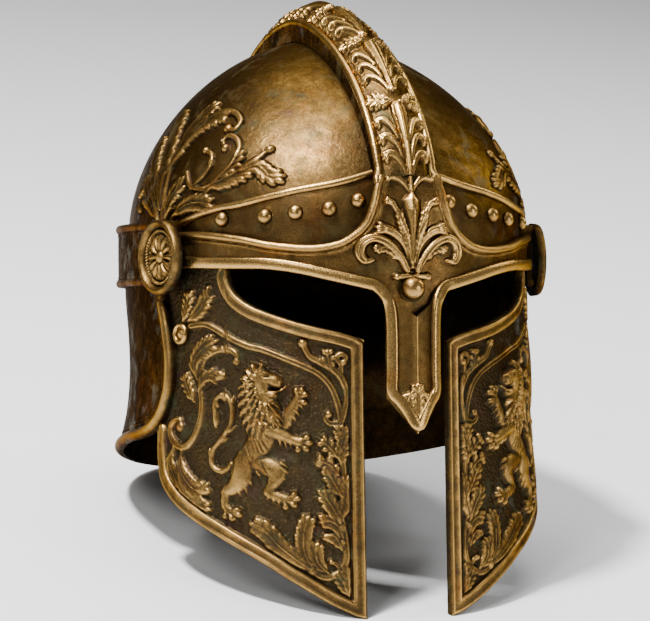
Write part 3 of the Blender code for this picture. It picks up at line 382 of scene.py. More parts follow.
class Relief:
    """A height field in millimetres over a grid of (u, v) millimetres."""

    def __init__(self, u, v):
        self.u, self.v = u, v
        self.h = np.zeros(u.shape)

    def window(self, path, reach):
        low, high = path.min(axis=0) - reach, path.max(axis=0) + reach
        inside = (self.u > low[0]) & (self.u < high[0]) & (self.v > low[1]) & (self.v < high[1])
        rows, columns = np.nonzero(inside.any(axis=1))[0], np.nonzero(inside.any(axis=0))[0]
        if not len(rows) or not len(columns):
            return None
        return slice(rows[0], rows[-1] + 1), slice(columns[0], columns[-1] + 1)

    def nearest(self, path, part):
        """(distance, share along) from the grid's part to a path."""
        u, v = self.u[part], self.v[part]
        best, share = np.full(u.shape, 1e9), np.zeros(u.shape)
        count = len(path) - 1
        for i in range(count):
            (ax, ay), (bx, by) = path[i], path[i + 1]
            dx, dy = bx - ax, by - ay
            t = np.clip(((u - ax) * dx + (v - ay) * dy) / max(dx * dx + dy * dy, 1e-9), 0.0, 1.0)
            d = np.hypot(u - ax - t * dx, v - ay - t * dy)
            closer = d < best
            best = np.where(closer, d, best)
            share = np.where(closer, (i + t) / count, share)
        return best, share

    def stroke(self, path, widths, heights, crown="round", wide=1.0, tall=1.0):
        """Raises a tapering stroke: half widths and heights follow the path, in millimetres once scaled."""
        widths, heights = np.array(widths, float) * wide, np.array(heights, float) * tall
        part = self.window(path, widths.max())
        if part is None:
            return
        d, share = self.nearest(path, part)
        half = np.interp(share, np.linspace(0, 1, len(widths)), widths)
        top = np.interp(share, np.linspace(0, 1, len(heights)), heights)
        t = np.minimum(d / np.maximum(half, 1e-3), 1.0)
        form = {"round": np.sqrt(1 - t**2), "ridge": 1 - t**1.4, "full": (1 - t**4) ** 0.5,
                "fluted": (1 - t**6) ** 0.5 * (0.66 + 0.34 * np.cos(pi * t) ** 2)}[crown]
        self.h[part] = np.maximum(self.h[part], np.where(t < 1, top * form, 0.0))

    def dent(self, centre, radius, depth):
        d = np.hypot(self.u - centre[0], self.v - centre[1])
        self.h -= depth * np.exp(-((d / radius) ** 2))

    def groove(self, path, half, depth):
        part = self.window(path, 3 * half)
        if part is not None:
            d, _ = self.nearest(path, part)
            self.h[part] -= depth * np.exp(-((d / half) ** 2))

    def knob(self, centre, radius, height):
        centre = np.asarray(centre, float)
        self.stroke(np.array([centre, centre + 0.01]), [radius, radius], [height, height])

    def leaf(self, path, width, height, sides=(1, -1)):
        """An acanthus leaf that widens to its tip: flutes leave a thin stem, and each ends in a lobe."""
        curve = smooth(path)
        reach = lengths_along(curve)
        length = reach[-1]
        tangent = unit(np.gradient(curve, axis=0))
        lobes = int(np.clip(round(length / LOBE_SPACING), LOBES_LEAST, LOBES_MOST))
        tooth = LOBE_HALF * length / lobes

        def beside(run, offset):
            """A point at a share of the leaf's length and an offset in millimetres to its side."""
            centre = np.array([np.interp(run * length, reach, curve[:, k]) for k in (0, 1)])
            forward = unit(np.array([np.interp(run * length, reach, tangent[:, k]) for k in (0, 1)]))
            return centre + np.array([-forward[1], forward[0]]) * offset

        body = np.interp(np.linspace(0, 1, 9), *zip(*LEAF_BODY)) * width + BODY_MORE
        self.stroke(curve, body, BODY_HEIGHTS, tall=height)
        for side in sides:
            for k in range(lobes):
                run = LOBE_FIRST + LOBE_RUN * k / (lobes - 1)
                spread = width * side * np.interp(run, *zip(*LEAF_SPREAD))
                flute = [beside(run + step, share * spread) for step, share in FLUTE_LINE]
                self.stroke(smooth(flute, 4), FLUTE_WIDTHS, FLUTE_HEIGHTS, wide=tooth, tall=height)
        tip = [beside(run, 0.0) for run in TIP_RUNS]
        self.stroke(smooth(tip, 4), TIP_WIDTHS, TIP_HEIGHTS, wide=tooth, tall=height)
        self.stroke(curve, VEIN_WIDTHS, VEIN_HEIGHTS, tall=height)

    def hook(self, path, width, height):
        """A leaf that widens along its curl and ends in three lobes."""
        curve = smooth(path, 6)
        way = unit(curve[-1] - curve[-3])
        across = np.array([-way[1], way[0]])
        self.stroke(curve, HOOK_WIDTHS, HOOK_HEIGHTS, wide=width, tall=height)
        for lean in HOOK_LEANS:
            lobe = [curve[-5], curve[-1] + across * lean * 0.55 * width,
                    curve[-1] + (way * (1.15 - 0.3 * abs(lean)) + across * lean) * width]
            self.stroke(smooth(lobe, 4), HOOK_LOBE_WIDTHS, HOOK_LOBE_HEIGHTS, wide=width, tall=height)
        self.groove(curve[:-3], HOOK_GROOVE * width, HOOK_GROOVE * height)

    def scroll(self, path, width, height, bud):
        """A round stem that ends in a bud, given as a share of the stem's half width."""
        curve = smooth(path)
        self.stroke(curve, SCROLL_WIDTHS, SCROLL_HEIGHTS, wide=width, tall=height)
        self.groove(curve, 0.28, 0.3 * height)
        self.knob(curve[-1], width * bud, height * 1.2)

    def soften(self):
        h = np.pad(self.h, 1, mode="edge")
        self.h = (4 * h[1:-1, 1:-1] + h[:-2, 1:-1] + h[2:, 1:-1] + h[1:-1, :-2] + h[1:-1, 2:]) / 8

    def tone(self, scale):
        """0 in the hollows, 1 on the rubbed highs, by height and how far it stands over what is round it.
        The dark of the hollows and of the feet of raised work is patina and painted shade.
        """
        local = self.h.copy()
        for _ in range(TONE_ROUNDS):
            h = np.pad(local, 1, mode="edge")
            local = (h[:-2, 1:-1] + h[2:, 1:-1] + h[1:-1, :-2] + h[1:-1, 2:]) / 4
        return np.clip(self.h / scale + (self.h - local) * TONE_EDGES, 0.0, 1.0)


def mesh_piece(name, points, faces, look, tone, angle=SHARP_ANGLE):
    """A piece in the frame's pose from upright points; tone is how rubbed each point is, and its low values
    in the hollows are patina and painted shade.
    """
    mesh = bpy.data.meshes.new(name)
    placed = stand(np.asarray(points, float).reshape(-1, 3))
    mesh.from_pydata(placed.tolist(), [], [tuple(int(i) for i in f) for f in faces])
    layer = mesh.attributes.new("tone", "FLOAT", "POINT")
    layer.data.foreach_set("value", np.asarray(tone, np.float32).ravel())
    mesh.validate()
    bm = bmesh.new()
    bm.from_mesh(mesh)
    bmesh.ops.recalc_face_normals(bm, faces=bm.faces)
    bm.to_mesh(mesh)
    bm.free()
    mesh.shade_smooth()
    mesh.set_sharp_from_angle(angle=radians(angle))
    piece = bpy.data.objects.new(name, mesh)
    bpy.context.scene.collection.objects.link(piece)
    mesh.materials.append(look)
    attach(piece, "root")
    return piece


def grid_faces(ids):
    a, b, c, d = ids[:-1, :-1], ids[:-1, 1:], ids[1:, 1:], ids[1:, :-1]
    return np.stack([a, b, c, d], axis=-1).reshape(-1, 4).tolist()


def tube_faces(ids):
    """The faces of a grid that closes on itself from its last column to its first."""
    return grid_faces(np.concatenate([ids, ids[:, :1]], axis=1))


def rim_of(ids):
    """The ids round the edge of a grid, in order."""
    return np.concatenate([ids[0, :-1], ids[:-1, -1], ids[-1, :0:-1], ids[:0:-1, 0]])


def plate(name, front, back, tone, look):
    """A closed plate: a fine front grid, and a back that keeps every so many of its rows and columns."""
    rows, columns = front.shape[:2]
    fine = np.arange(rows * columns).reshape(rows, columns)
    back = back[::BACK_STEP, ::BACK_STEP]
    deep = back.shape[0] * back.shape[1]
    coarse = rows * columns + np.arange(deep).reshape(back.shape[:2])
    faces = grid_faces(fine) + grid_faces(coarse[:, ::-1])
    edge, far = rim_of(fine), rim_of(coarse)
    half = BACK_STEP // 2
    for k in range(len(far)):
        a, b = far[k], far[(k + 1) % len(far)]
        run = [edge[(k * BACK_STEP + i) % len(edge)] for i in range(BACK_STEP + 1)]
        faces += [(run[i], run[i + 1], a) for i in range(half)]
        faces.append((a, run[half], b))
        faces += [(run[i], run[i + 1], b) for i in range(half, BACK_STEP)]
    points = np.concatenate([front.reshape(-1, 3), back.reshape(-1, 3)])
    tones = np.concatenate([tone.ravel(), np.full(deep, BACK_TONE)])
    return mesh_piece(name, points, faces, look, tones)


def applique(name, front, back, height, tone, look):
    """A closed raised ornament: only the cells of the grid where it stands up."""
    keep = height > RAISED_LEAST
    cells = keep[:-1, :-1] | keep[:-1, 1:] | keep[1:, 1:] | keep[1:, :-1]
    rows, columns = front.shape[:2]
    top = np.arange(rows * columns).reshape(rows, columns)
    quads = np.stack([top[:-1, :-1], top[:-1, 1:], top[1:, 1:], top[1:, :-1]], axis=-1)[cells]
    ends = np.concatenate([quads[:, [k, (k + 1) % 4]] for k in range(4)])
    seen_edges = {tuple(e) for e in ends.tolist()}
    border = [e for e in seen_edges if (e[1], e[0]) not in seen_edges]
    under = rows * columns
    faces = quads.tolist() + (quads[:, ::-1] + under).tolist()
    faces += [(b, a, a + under, b + under) for a, b in border]
    used = np.unique(np.concatenate([np.unique(quads), np.unique(quads) + under]))
    renumber = np.zeros(2 * under, int)
    renumber[used] = np.arange(len(used))
    points = np.concatenate([front.reshape(-1, 3), back.reshape(-1, 3)])[used]
    tones = np.concatenate([tone.ravel(), np.zeros(under)])[used]
    return mesh_piece(name, points, [tuple(renumber[list(f)]) for f in faces], look, tones)


def bead(name, points, normals, half, rise, look, base=0.0, section=BEAD_SECTION, tones=BEAD_TONES):
    """A moulding swept along points with their normals; its section is rows of (across, up) shares."""
    along_it = unit(np.gradient(points, axis=0))
    side = unit(np.cross(normals, along_it))
    count = len(points)
    ring, tone = [], []
    for across, up in section:
        ring.append(points + side * (across * half) + normals * (base + up * rise))
        tone.append(np.full(count, tones[0] + (tones[1] - tones[0]) * up))
    for across in (0.98, -0.98):
        ring.append(points + side * (across * half) + normals * (base - 0.25 * rise))
        tone.append(np.zeros(count))
    rings = np.stack(ring, axis=1)
    wide = rings.shape[1]
    ids = np.arange(count * wide).reshape(count, wide)
    faces = tube_faces(ids) + [tuple(ids[0]), tuple(ids[-1, ::-1])]
    return mesh_piece(name, rings, faces, look, np.stack(tone, axis=1), BEAD_SHARP_ANGLE)


def button(name, node_name, centre, normal, profile, sides):
    """A small closed turned piece from (radius, height) in millimetres, bright on its highs and darkened
    towards its foot with painted shade.
    """
    across = unit(np.cross(normal, [0.0, 0.0, 1.0]))
    up = np.cross(normal, across)
    angles = np.linspace(0, 2 * pi, sides, endpoint=False)
    round_it = np.cos(angles)[:, None] * across + np.sin(angles)[:, None] * up
    rings = np.stack([centre + round_it * (radius * MM) + normal * (height * MM) for radius,
                      height in profile])
    ids = np.arange(len(profile) * sides).reshape(len(profile), sides)
    faces = tube_faces(ids) + [tuple(ids[0]), tuple(ids[-1, ::-1])]
    heights = np.array([height for _, height in profile])
    tone = np.repeat(np.clip(heights / heights.max(), 0, 1)[:, None], sides, axis=1)
    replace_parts(mesh_piece(name, rings, faces, MATERIALS["bright"], tone), node_name)


def cheek_turn(turn, z):
    """Turns near a cheek's front edge follow the edge, which stands upright."""
    heights = np.linspace(z.min(), z.max(), 120)
    edge = np.interp(z, heights, turn_of(FACE_GAP_HALF, heights))
    return turn + (edge - EYE_EDGE[0][0]) * np.maximum(0.0, 1 - (turn - EYE_EDGE[0][0]) / CHEEK_BLEND)


def cheek_top(turn):
    eye = -EYE_DROP * along(EYE_EDGE, turn)
    step = np.clip((turn - EYE_EDGE[-1][0]) / CHEEK_STEP, 0.0, 1.0)
    return eye + (CAP_FOOT - GAP - eye) * step


def cheek_low(turn):
    return -CHEEK_DROP * along(JAW_EDGE, turn)


def cheek_outline():
    """The edge of a cheek as (turn, z), from the eye's outer corner round the front to the rear corner."""
    upper = [(turn, -EYE_DROP * share) for turn, share in reversed(EYE_EDGE) if share > 0.15]
    front = [(None, -EYE_DROP - (CHEEK_DROP - EYE_DROP) * share) for share in np.linspace(0.01, 1.0, 30)]
    front = [(float(turn_of(FACE_GAP_HALF, z)), z) for _, z in front]
    lower = [(turn, -CHEEK_DROP * share) for turn, share in JAW_EDGE[1:]]
    return smooth(upper[:-1], 6), np.array(front), smooth(lower, 6)


# A cheek's raised border: (millimetres from the edge, millimetres up)
CHEEK_BORDER = [(0.0, 1.0), (0.3, 1.8), (0.8, 2.3), (1.4, 2.45), (1.9, 2.3), (2.3, 2.0), (3.0, 1.9),
                (4.0, 1.95), (4.9, 2.1), (5.5, 2.35), (6.0, 2.3), (6.4, 1.9), (6.7, 1.1), (7.0, 0.3),
                (7.3, 0.0)]

# The ornament on the wearer's right cheek, in the photograph's pixels
SCROLL_LINE = [(190.2, 326.1), (203.6, 324.3), (214.3, 328.8), (230.4, 338.6), (248.2, 346.6),
               (261.4, 349.8), (284.6, 358.8), (302.5, 365.9), (318.6, 373.9), (329.3, 384.6),
               (335.5, 397.1), (339.1, 409.6), (340, 420.4), (334.6, 424), (329.3, 423), (325.7, 418.6),
               (328.5, 414.6)]
# (pixels along the leaf, half width in millimetres)
CHEEK_LEAVES = [
    ([(183.7, 322), (188.0, 306), (189.2, 290.4)], 3.0),
    ([(188.2, 321.6), (200.8, 310), (206.4, 297), (203.6, 290.1)], 3.2),
    ([(198.2, 380), (195.4, 362.7), (203.6, 349.3), (216.2, 341.1)], 3.6),
    ([(199.1, 391.5), (204.4, 378.9), (212.5, 375.1), (218.9, 377.8), (221.5, 371.4)], 2.4),
    ([(194.9, 402), (188.3, 386), (184.7, 374)], 2.8),
    ([(182.3, 451.4), (181.3, 464.6), (184.7, 476.2), (193.1, 487.8), (201.4, 490.5), (207.4, 483.7)], 3.2),
    ([(180.3, 473.1), (186.3, 493.6), (196.4, 504.6), (210.7, 510.4)], 3.0),
    ([(174.9, 446), (171.2, 460.5), (174.5, 472.9), (181.5, 489.8)], 2.8),
    ([(332, 371.4), (328.3, 359.6), (327.4, 349.6)], 2.4),
    ([(337.8, 442), (337.8, 425.7)], 1.8),
    ([(337.4, 458), (329.3, 447.1), (320.1, 439.9)], 2.6),
    ([(339.1, 453.6), (342.7, 438.2), (347.3, 426.4)], 2.4),
    ([(340, 464.5), (344.6, 451.7), (349, 443.5)], 2.2),
    ([(339.2, 475.9), (329.3, 465), (316.6, 460.4)], 2.6),
    ([(342.9, 497.3), (333.2, 481.7), (326.4, 468)], 3.0),
    ([(342.9, 520.5), (346.8, 499.1), (348.3, 475.8)], 2.6),
    ([(341, 523.5), (332.2, 506.9), (326.4, 498.2), (324.4, 488.4)], 3.0),
    ([(342.9, 538), (337.1, 525.3), (327.4, 520.5), (319.6, 522.4)], 3.0),
    ([(341.9, 550.7), (337.1, 539), (331.3, 536), (327.3, 541.8)], 2.6),
    ([(329.4, 573.9), (318.6, 563.2), (315.7, 551.5), (318.6, 542.7)], 2.8),
    ([(315.8, 572), (305, 553.5), (304, 533.1), (309.9, 514.6)], 3.0),
    ([(315.8, 573), (297.3, 560.3), (278.8, 545.7), (265.2, 531.2), (249.7, 523.4)], 3.2),
    ([(349.8, 598.3), (343.9, 584.6), (337.1, 572.8)], 2.6),
    ([(348.8, 597.4), (348.8, 583.7), (347.8, 567)], 2.2),
]
# (pixels along the stem, half width in millimetres)
CHEEK_STEMS = [
    ([(200, 384.5), (203.6, 362.7), (212.5, 352.9), (225.9, 349.3), (235.7, 353.8), (236.5, 361.7)], 1.7),
    ([(199.8, 384), (201.6, 406.6), (198.1, 427.3), (190.5, 442.4), (182.2, 447.4), (173.9, 441.4),
      (170.6, 431.5), (172.4, 423.2), (179.2, 420), (180.5, 427)], 2.1),
    ([(340.8, 424.6), (346.3, 402.5), (346.3, 390), (340.9, 377.5), (332.9, 369.5), (320.4, 362.3),
      (309.6, 356.1), (302.5, 343.4)], 1.9),
    ([(340.9, 378.7), (341, 366), (336.3, 357.9), (341.8, 354.2), (346.4, 357.9), (343.6, 362.4)], 1.4),
    ([(337.8, 436), (340.5, 455), (343.9, 470), (342.9, 499.1), (341.9, 528.4)], 1.6),
    ([(342.9, 522.2), (345.8, 543.8), (346.8, 557.4), (341.9, 570), (332.2, 576.9), (321.6, 576.9),
      (312.8, 571)], 2.0),
    ([(341, 570), (336, 564), (331.3, 562.2)], 1.2),
]
LION_TAIL = [(231.5, 464.3), (228.2, 468.5), (220.4, 471.3), (214.1, 467.1), (211.7, 458.7), (214.1, 448.9),
             (219, 442.5), (225.4, 433.4), (231, 423.2), (232.6, 408.2), (228.8, 398.3), (222.1, 395),
             (216.3, 400), (215.5, 408.2), (216.3, 419.2)]
# (pixels along a mass of the lion, half widths in millimetres, heights in millimetres), the far ones first
LION_LIMBS = [
    ([(283.5, 426), (286.2, 418.8), (290.8, 411.2), (296.2, 402), (299.2, 397.4)], [3.4, 3.7, 3.5, 2.9, 3.1],
     [2.6, 2.7, 2.7, 2.6, 2.8]),
    ([(256, 463), (268.2, 467.1), (275.5, 472), (275.9, 477.5), (272.4, 485.4), (268, 492.5)],
     [4.4, 5.0, 5.4, 5.0, 3.3, 2.7], [2.7, 3.1, 3.2, 3.0, 2.6, 2.5]),
    ([(268, 492.5), (275.2, 495.9), (284.3, 499.4), (290.6, 500.8)], [2.8, 3.1, 2.7, 3.0],
     [2.5, 2.6, 2.5, 2.6]),
    ([(266, 424), (262, 435), (257.5, 446), (250, 456), (246, 464)], [7.6, 7.6, 7.0, 6.4, 6.0],
     [3.6, 3.6, 3.4, 3.4, 3.4]),
    ([(246.5, 459), (242.2, 468.5), (240.5, 479), (234, 487), (227, 491.5)], [6.2, 6.4, 6.2, 4.7, 3.0],
     [3.5, 3.9, 3.8, 3.2, 2.8]),
    ([(227, 490), (225.3, 497), (225.4, 504.3), (228.2, 510)], [3.2, 2.6, 2.6, 2.9], [2.9, 2.8, 2.7, 2.8]),
    ([(269, 430), (277, 432.4), (285, 436.6), (293, 440.4), (300, 442.6)], [5.0, 4.4, 3.5, 2.8, 3.1],
     [4.0, 3.9, 3.6, 3.2, 3.2]),
    ([(253.5, 380), (251.5, 392), (253, 405), (257, 418), (261, 427)], [6.4, 7.2, 7.8, 7.8, 7.0],
     [3.5, 3.6, 3.7, 3.8, 3.8]),
    ([(262, 392), (267, 406), (272.5, 418)], [5.8, 6.6, 6.2], [4.2, 4.3, 4.2]),
    ([(261, 377), (262.5, 384), (264, 389)], [5.2, 5.0, 4.0], [4.9, 5.2, 4.8]),
    ([(265.5, 378.5), (272, 379.8), (278, 381.4)], [4.3, 3.7, 2.9], [5.3, 5.0, 4.4]),
    ([(274, 383), (278.6, 384.4)], [2.6, 2.3], [4.6, 4.5]),
    ([(262, 391.5), (268.6, 393.8), (275.2, 395.8)], [2.8, 2.1, 1.9], [4.6, 4.0, 3.7]),
    ([(270.5, 391.7), (278.6, 391.2), (285.6, 387.4)], [0.9, 0.9, 0.5], [3.6, 3.3, 2.6]),
]
# Toes: pairs of pixels, from a paw outward
LION_TOES = [((298, 396), (296.4, 390.2)), ((299.5, 396), (301.8, 389.9)), ((300, 398), (305.6, 394.8)),
             ((299, 401), (304.8, 403.0)), ((301, 440), (307.4, 437.4)), ((303, 443), (310, 443.3)),
             ((302, 445), (306.6, 449.8)), ((298, 445), (298, 450.4)), ((289, 498), (294.6, 494.4)),
             ((291, 500), (298.4, 498.9)), ((289, 502), (294.6, 505.4)), ((285, 502), (286, 507.6)),
             ((231, 510), (238.4, 510.4)), ((231, 511), (240.1, 515.3)), ((229, 512), (233.3, 518.8)),
             ((227, 511), (225.9, 516.6))]
# Tufts of fur: pairs of pixels, from a limb outward
LION_TUFTS = [((297, 403), (302.3, 409)), ((293.5, 409), (298.6, 416)), ((290.5, 414), (295.2, 421)),
              ((287, 419), (290.8, 426.8)), ((279, 438), (279.6, 445.8)), ((284, 440), (285.6, 447.8)),
              ((289, 441), (290.6, 448.4)), ((281, 463), (287, 467.6)), ((282, 469), (288.2, 474.2)),
              ((280, 475), (285.2, 480.6)), ((276, 480), (279.6, 486.6)), ((270, 494), (266.6, 499.8)),
              ((275, 497), (272, 502.8)), ((280, 499), (277.4, 504.8)), ((248, 478), (251.6, 486.8)),
              ((244, 484), (246, 493)), ((238, 488), (239.6, 495.4)), ((224, 490), (219, 492)),
              ((224, 497), (219.6, 501)), ((224.6, 503), (220.6, 508)), ((257, 472), (260, 478))]
# The mane in rows from the back forward: roots, the way the lock at each points, length, height in
# millimetres
LION_MANE = [
    ([(262, 371.5), (256, 372), (251.5, 376), (248.5, 384), (247, 393), (247, 404), (249, 415), (252, 424),
      (257, 430), (264, 432), (271, 428), (279, 420)],
     [(0.3, -1), (-0.4, -1), (-0.9, -0.5), (-1, 0.1), (-1, 0.3), (-1, 0.55), (-0.9, 0.8), (-0.6, 1),
      (-0.3, 1), (0, 1), (0.3, 1), (0.8, 0.8)], 5.4, 4.1),
    ([(257, 373), (253, 380), (251, 389), (251, 399), (253, 409), (257, 418), (263, 424), (270, 422),
      (276, 413)],
     [(-0.6, -0.7), (-1, -0.1), (-1, 0.35), (-0.9, 0.55), (-0.8, 0.8), (-0.5, 1), (-0.1, 1), (0.3, 1),
      (0.8, 0.9)],
     6.0, 4.7),
    ([(255.5, 383), (255, 392), (257, 401), (260, 410), (266, 415), (273, 409)],
     [(-0.9, 0.3), (-0.8, 0.7), (-0.7, 0.8), (-0.4, 1), (0.1, 1), (0.8, 0.9)], 6.0, 5.0),
    ([(258, 389), (259.5, 396), (263, 403), (269, 405), (272, 402)],
     [(-0.7, 0.7), (-0.6, 0.9), (-0.2, 1), (0.5, 0.9), (0.9, 0.7)], 5.6, 5.4),
]
LION_EAR, LION_EYE = (255.6, 377.6), [(266.4, 377.2), (269.8, 376.8)]
LION_BROW, LION_MOUTH = [(262, 373.4), (267, 372.6), (272.6, 374.6)], [(270.6, 389.4), (277.6, 389.6)]
LION_NOSTRIL = (280.4, 379.2)
STUD_PIXEL = (180.8, 334.0)
TAIL_LOCKS = ((4, -1), (6, 1), (7, 1), (9, 1), (10, -1), (12, -1))   # (place along the tail, its side)
TAIL_END = (0.4, -4.5)        # millimetres from the tail's last point to its tassel's end
TUFT_BEND = 0.12
# The mane's locks: bends and reaches of every other one, then widths in millimetres and shares of the height
LOCK_BENDS, LOCK_REACHES = (-0.10, 0.18), (0.84, 1.0)
LOCK_WIDTHS, LOCK_HEIGHTS = [1.3, 1.8, 1.6, 1.0, 0.2], [0.96, 1.06, 1.02, 0.92, 0.70]
SCROLL_LINE_WIDTHS = [1.75] * 6 + [1.4]
STEM_SCALE, STEM_HEIGHT, LEAF_SCALE, LEAF_HEIGHT = 1.15, 2.3, 1.35, 2.4
# Millimetres from a cheek's edge where its ornament starts, and over which
BORDER_CLEAR, BORDER_FADE = 6.6, 1.6
CHEEK_TONE_SCALE, CHEEK_TONE_SHARE = 4.4, 0.8
LION_FOLDS = [[(252, 441), (256, 452)], [(256, 441), (260, 452)], [(260, 441), (264, 451)],
              [(264, 441), (268, 449)], [(248, 446), (252, 456)], [(251, 460), (252.5, 470)],
              [(236, 462), (234, 474)], [(262, 462), (268, 474)], [(254.5, 456), (252.6, 464)]]


def cheek_relief(r):
    """Draws the lion, the vines and the scroll line on a cheek's relief."""
    line = smooth(on_cheek(SCROLL_LINE))
    r.stroke(line, SCROLL_LINE_WIDTHS, [1.7], "full")
    r.groove(line, 0.4, 0.7)
    r.knob(line[-1], 2.0, 2.2)
    for pixels, half in CHEEK_STEMS:
        r.scroll(on_cheek(pixels), half * STEM_SCALE, STEM_HEIGHT, 1.25)
    for pixels, half in CHEEK_LEAVES:
        r.leaf(on_cheek(pixels), half * LEAF_SCALE, LEAF_HEIGHT)
    lion(r)


def lion(r):
    """Draws the lion rampant, from its far limbs to its head."""
    tail = on_cheek(LION_TAIL)
    r.stroke(smooth(tail), [1.9, 1.7, 1.6, 1.6, 1.7, 1.9], [2.7])
    for i, lean in TAIL_LOCKS:
        a, b = tail[i], tail[i + 1]
        out = np.array([a[1] - b[1], b[0] - a[0]]) * 0.5 * lean
        r.stroke(smooth([a, (a + b) / 2 + out * 0.7, b + out], 4), [1.3, 1.5, 0.3], [2.5, 2.5, 1.8], "ridge")
    tassel = smooth([tail[-2], tail[-1], tail[-1] + TAIL_END], 4)
    r.stroke(tassel, [1.9, 2.9, 2.4, 0.4], [2.7, 3.0, 2.7, 1.6], "ridge")
    for pair in LION_TUFTS:
        root, tip = on_cheek(pair)
        side = np.array([tip[1] - root[1], root[0] - tip[0]]) * TUFT_BEND
        r.stroke(smooth([root, (root + tip) / 2 + side, tip], 4), [1.7, 1.3, 0.3], [2.7, 2.6, 1.9], "ridge")
    for pixels, halves, heights in LION_LIMBS:
        r.stroke(smooth(on_cheek(pixels), 7), halves, heights)
    for pair in LION_TOES:
        r.stroke(on_cheek(pair), [1.2, 1.3, 1.9, 1.9], [2.9, 2.9, 3.5, 3.4])
    r.soften()
    for order, (roots, ways, length, height) in enumerate(LION_MANE):
        root, way_at = on_cheek(roots), np.array(ways, float)
        number = np.arange(len(root))
        for i, place in enumerate(np.linspace(0, len(root) - 1, 5 * len(root) // 2)):
            start = np.array([np.interp(place, number, root[:, k]) for k in (0, 1)])
            way = -unit(np.array([np.interp(place, number, way_at[:, k]) for k in (0, 1)]))
            bend = np.array([-way[1], way[0]]) * LOCK_BENDS[(i + order) % 2]
            reach = length * LOCK_REACHES[i % 2]
            lock = smooth([start, start + (way * 0.5 + bend) * reach, start + way * reach], 4)
            r.stroke(lock, LOCK_WIDTHS, LOCK_HEIGHTS, "ridge", tall=height)
    ear = on_cheek([LION_EAR])[0]
    r.knob(ear, 2.5, 6.6)
    r.dent(ear, 1.0, 2.2)
    r.stroke(smooth(on_cheek(LION_BROW), 4), [0.8, 1.2, 0.7], [5.7, 6.1, 5.2])
    r.groove(on_cheek(LION_EYE), 0.45, 0.9)
    r.groove(on_cheek(LION_MOUTH), 0.7, 1.9)
    r.dent(on_cheek([LION_NOSTRIL])[0], 0.6, 1.1)
    for pixels in LION_FOLDS:
        r.groove(on_cheek(pixels), 0.4, 0.45)


def away_from(relief, edges, ring):
    """Millimetres from each place of a relief to the nearest of some edges of (turn, z)."""
    route = np.concatenate([np.stack([arc_of(edge[:, 0], ring), edge[:, 1] / MM],
                                     axis=-1) for edge in edges])
    return relief.nearest(route, WHOLE)[0]


def table_at(table, x):
    return np.interp(x, *zip(*table))


def cheek(side, label):
    turns = np.linspace(EYE_EDGE[0][0], JAW_EDGE[-1][0] - 0.2, CHEEK_COLUMNS)
    share = np.linspace(0, 1, CHEEK_ROWS)[:, None]
    z = cheek_low(turns) + (cheek_top(turns) - cheek_low(turns)) * share
    turn = cheek_turn(turns, z)
    relief = Relief(arc_of(turn, "cheek"), z / MM)
    away = away_from(relief, cheek_outline(), "cheek")
    cheek_relief(relief)
    border = table_at(CHEEK_BORDER, away)
    clear = np.clip((away - BORDER_CLEAR) / BORDER_FADE, 0.0, 1.0)
    relief.h = np.maximum(relief.h * clear, border)
    relief.soften()
    p, n = wall(turn * side, z)
    tone = relief.tone(CHEEK_TONE_SCALE) * CHEEK_TONE_SHARE + (1 - CHEEK_TONE_SHARE) * np.clip(border, 0, 1)
    front = p + n * (relief.h * MM)[..., None]
    piece = plate(f"cheek_{label}", front, p - n * PLATE, tone, MATERIALS["cheek"])
    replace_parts(piece, *(f"{name}_{label}" for name in CHEEK_NODES))


# The spray over the ear: (the photograph's pixels, half width in millimetres), and for a leaf its lobed
# sides
CAP_CENTRE = (-68.0, 0.045)   # (turn, z) of the spray's own plane
SPRAY_TURNS, SPRAY_HEIGHTS = (-110.0, -32.0), (0.012, 0.103)   # the part of the cap that the spray lies in
SPRAY_LIFT = 0.001
SPRAY_STEM_HEIGHT, SPRAY_LEAF_HEIGHT, SPRAY_LEAF_SCALE = 2.0, 2.2, 1.45
CAP_STEMS = [
    ([(161.7, 224), (164, 193.3), (169.7, 170.4), (178.9, 150.8), (192.7, 132.5), (209.9, 118.7),
      (224.8, 112), (235, 114.1), (239.6, 122.1), (234, 130.2), (227.1, 129)], 1.9),
    ([(185.8, 173), (189.2, 185.3), (201.8, 189.7), (213.3, 186.3), (224.8, 180.5), (238.6, 170.2),
      (253.5, 161.2), (269.3, 150)], 1.8),
    ([(164, 210), (182, 206), (197, 201), (209.9, 187.3), (225.9, 170.4), (237.3, 154.3), (237.3, 141.7),
      (229.4, 136.1), (222.5, 141.7), (224.6, 148.5)], 1.7),
    ([(190.2, 188.8), (197.2, 181.8), (208.7, 168.1), (210.9, 155.4), (205.4, 151)], 1.5),
]
CAP_LEAVES = [
    ([(167, 175), (178.9, 150.8), (194.7, 130.5), (213, 118), (232, 113)], 4.6, (1,)),
    ([(176.9, 153.8), (197.2, 124.4), (218.8, 104.1)], 3.4, (1, -1)),
    ([(160, 210), (159.4, 193.3), (167.4, 158.9), (174.3, 135.9), (184.5, 112.3)], 3.4, (1, -1)),
    ([(157, 200), (154.9, 170.4), (158.2, 154.3), (165, 138.5)], 3.2, (1, -1)),
    ([(140, 212), (128.2, 198), (133, 187.6), (144.4, 164.6), (155.9, 141.7), (166.1, 123.6)], 3.0, (1, -1)),
    ([(135.3, 206.5), (144.4, 187.6), (150, 178.7)], 2.6, (1, -1)),
    ([(158.2, 221.6), (152.6, 204.8), (146.9, 193.3), (153.5, 179.8)], 3.4, (1, -1)),
    ([(165.1, 221.6), (170.8, 200.2), (178.9, 187.6), (179.9, 178.8)], 3.4, (1, -1)),
    ([(172, 218), (186, 206), (199, 203), (212, 207)], 3.0, (1, -1)),
    ([(204, 188), (224.8, 179.5), (243, 169.2), (262, 157)], 4.2, (1,)),
    ([(240, 172.7), (257.2, 167.1), (270.7, 177.2), (284, 176.1)], 2.8, (1, -1)),
    ([(216, 181), (230.9, 165.4), (238.3, 150.3)], 3.6, (1,)),
]

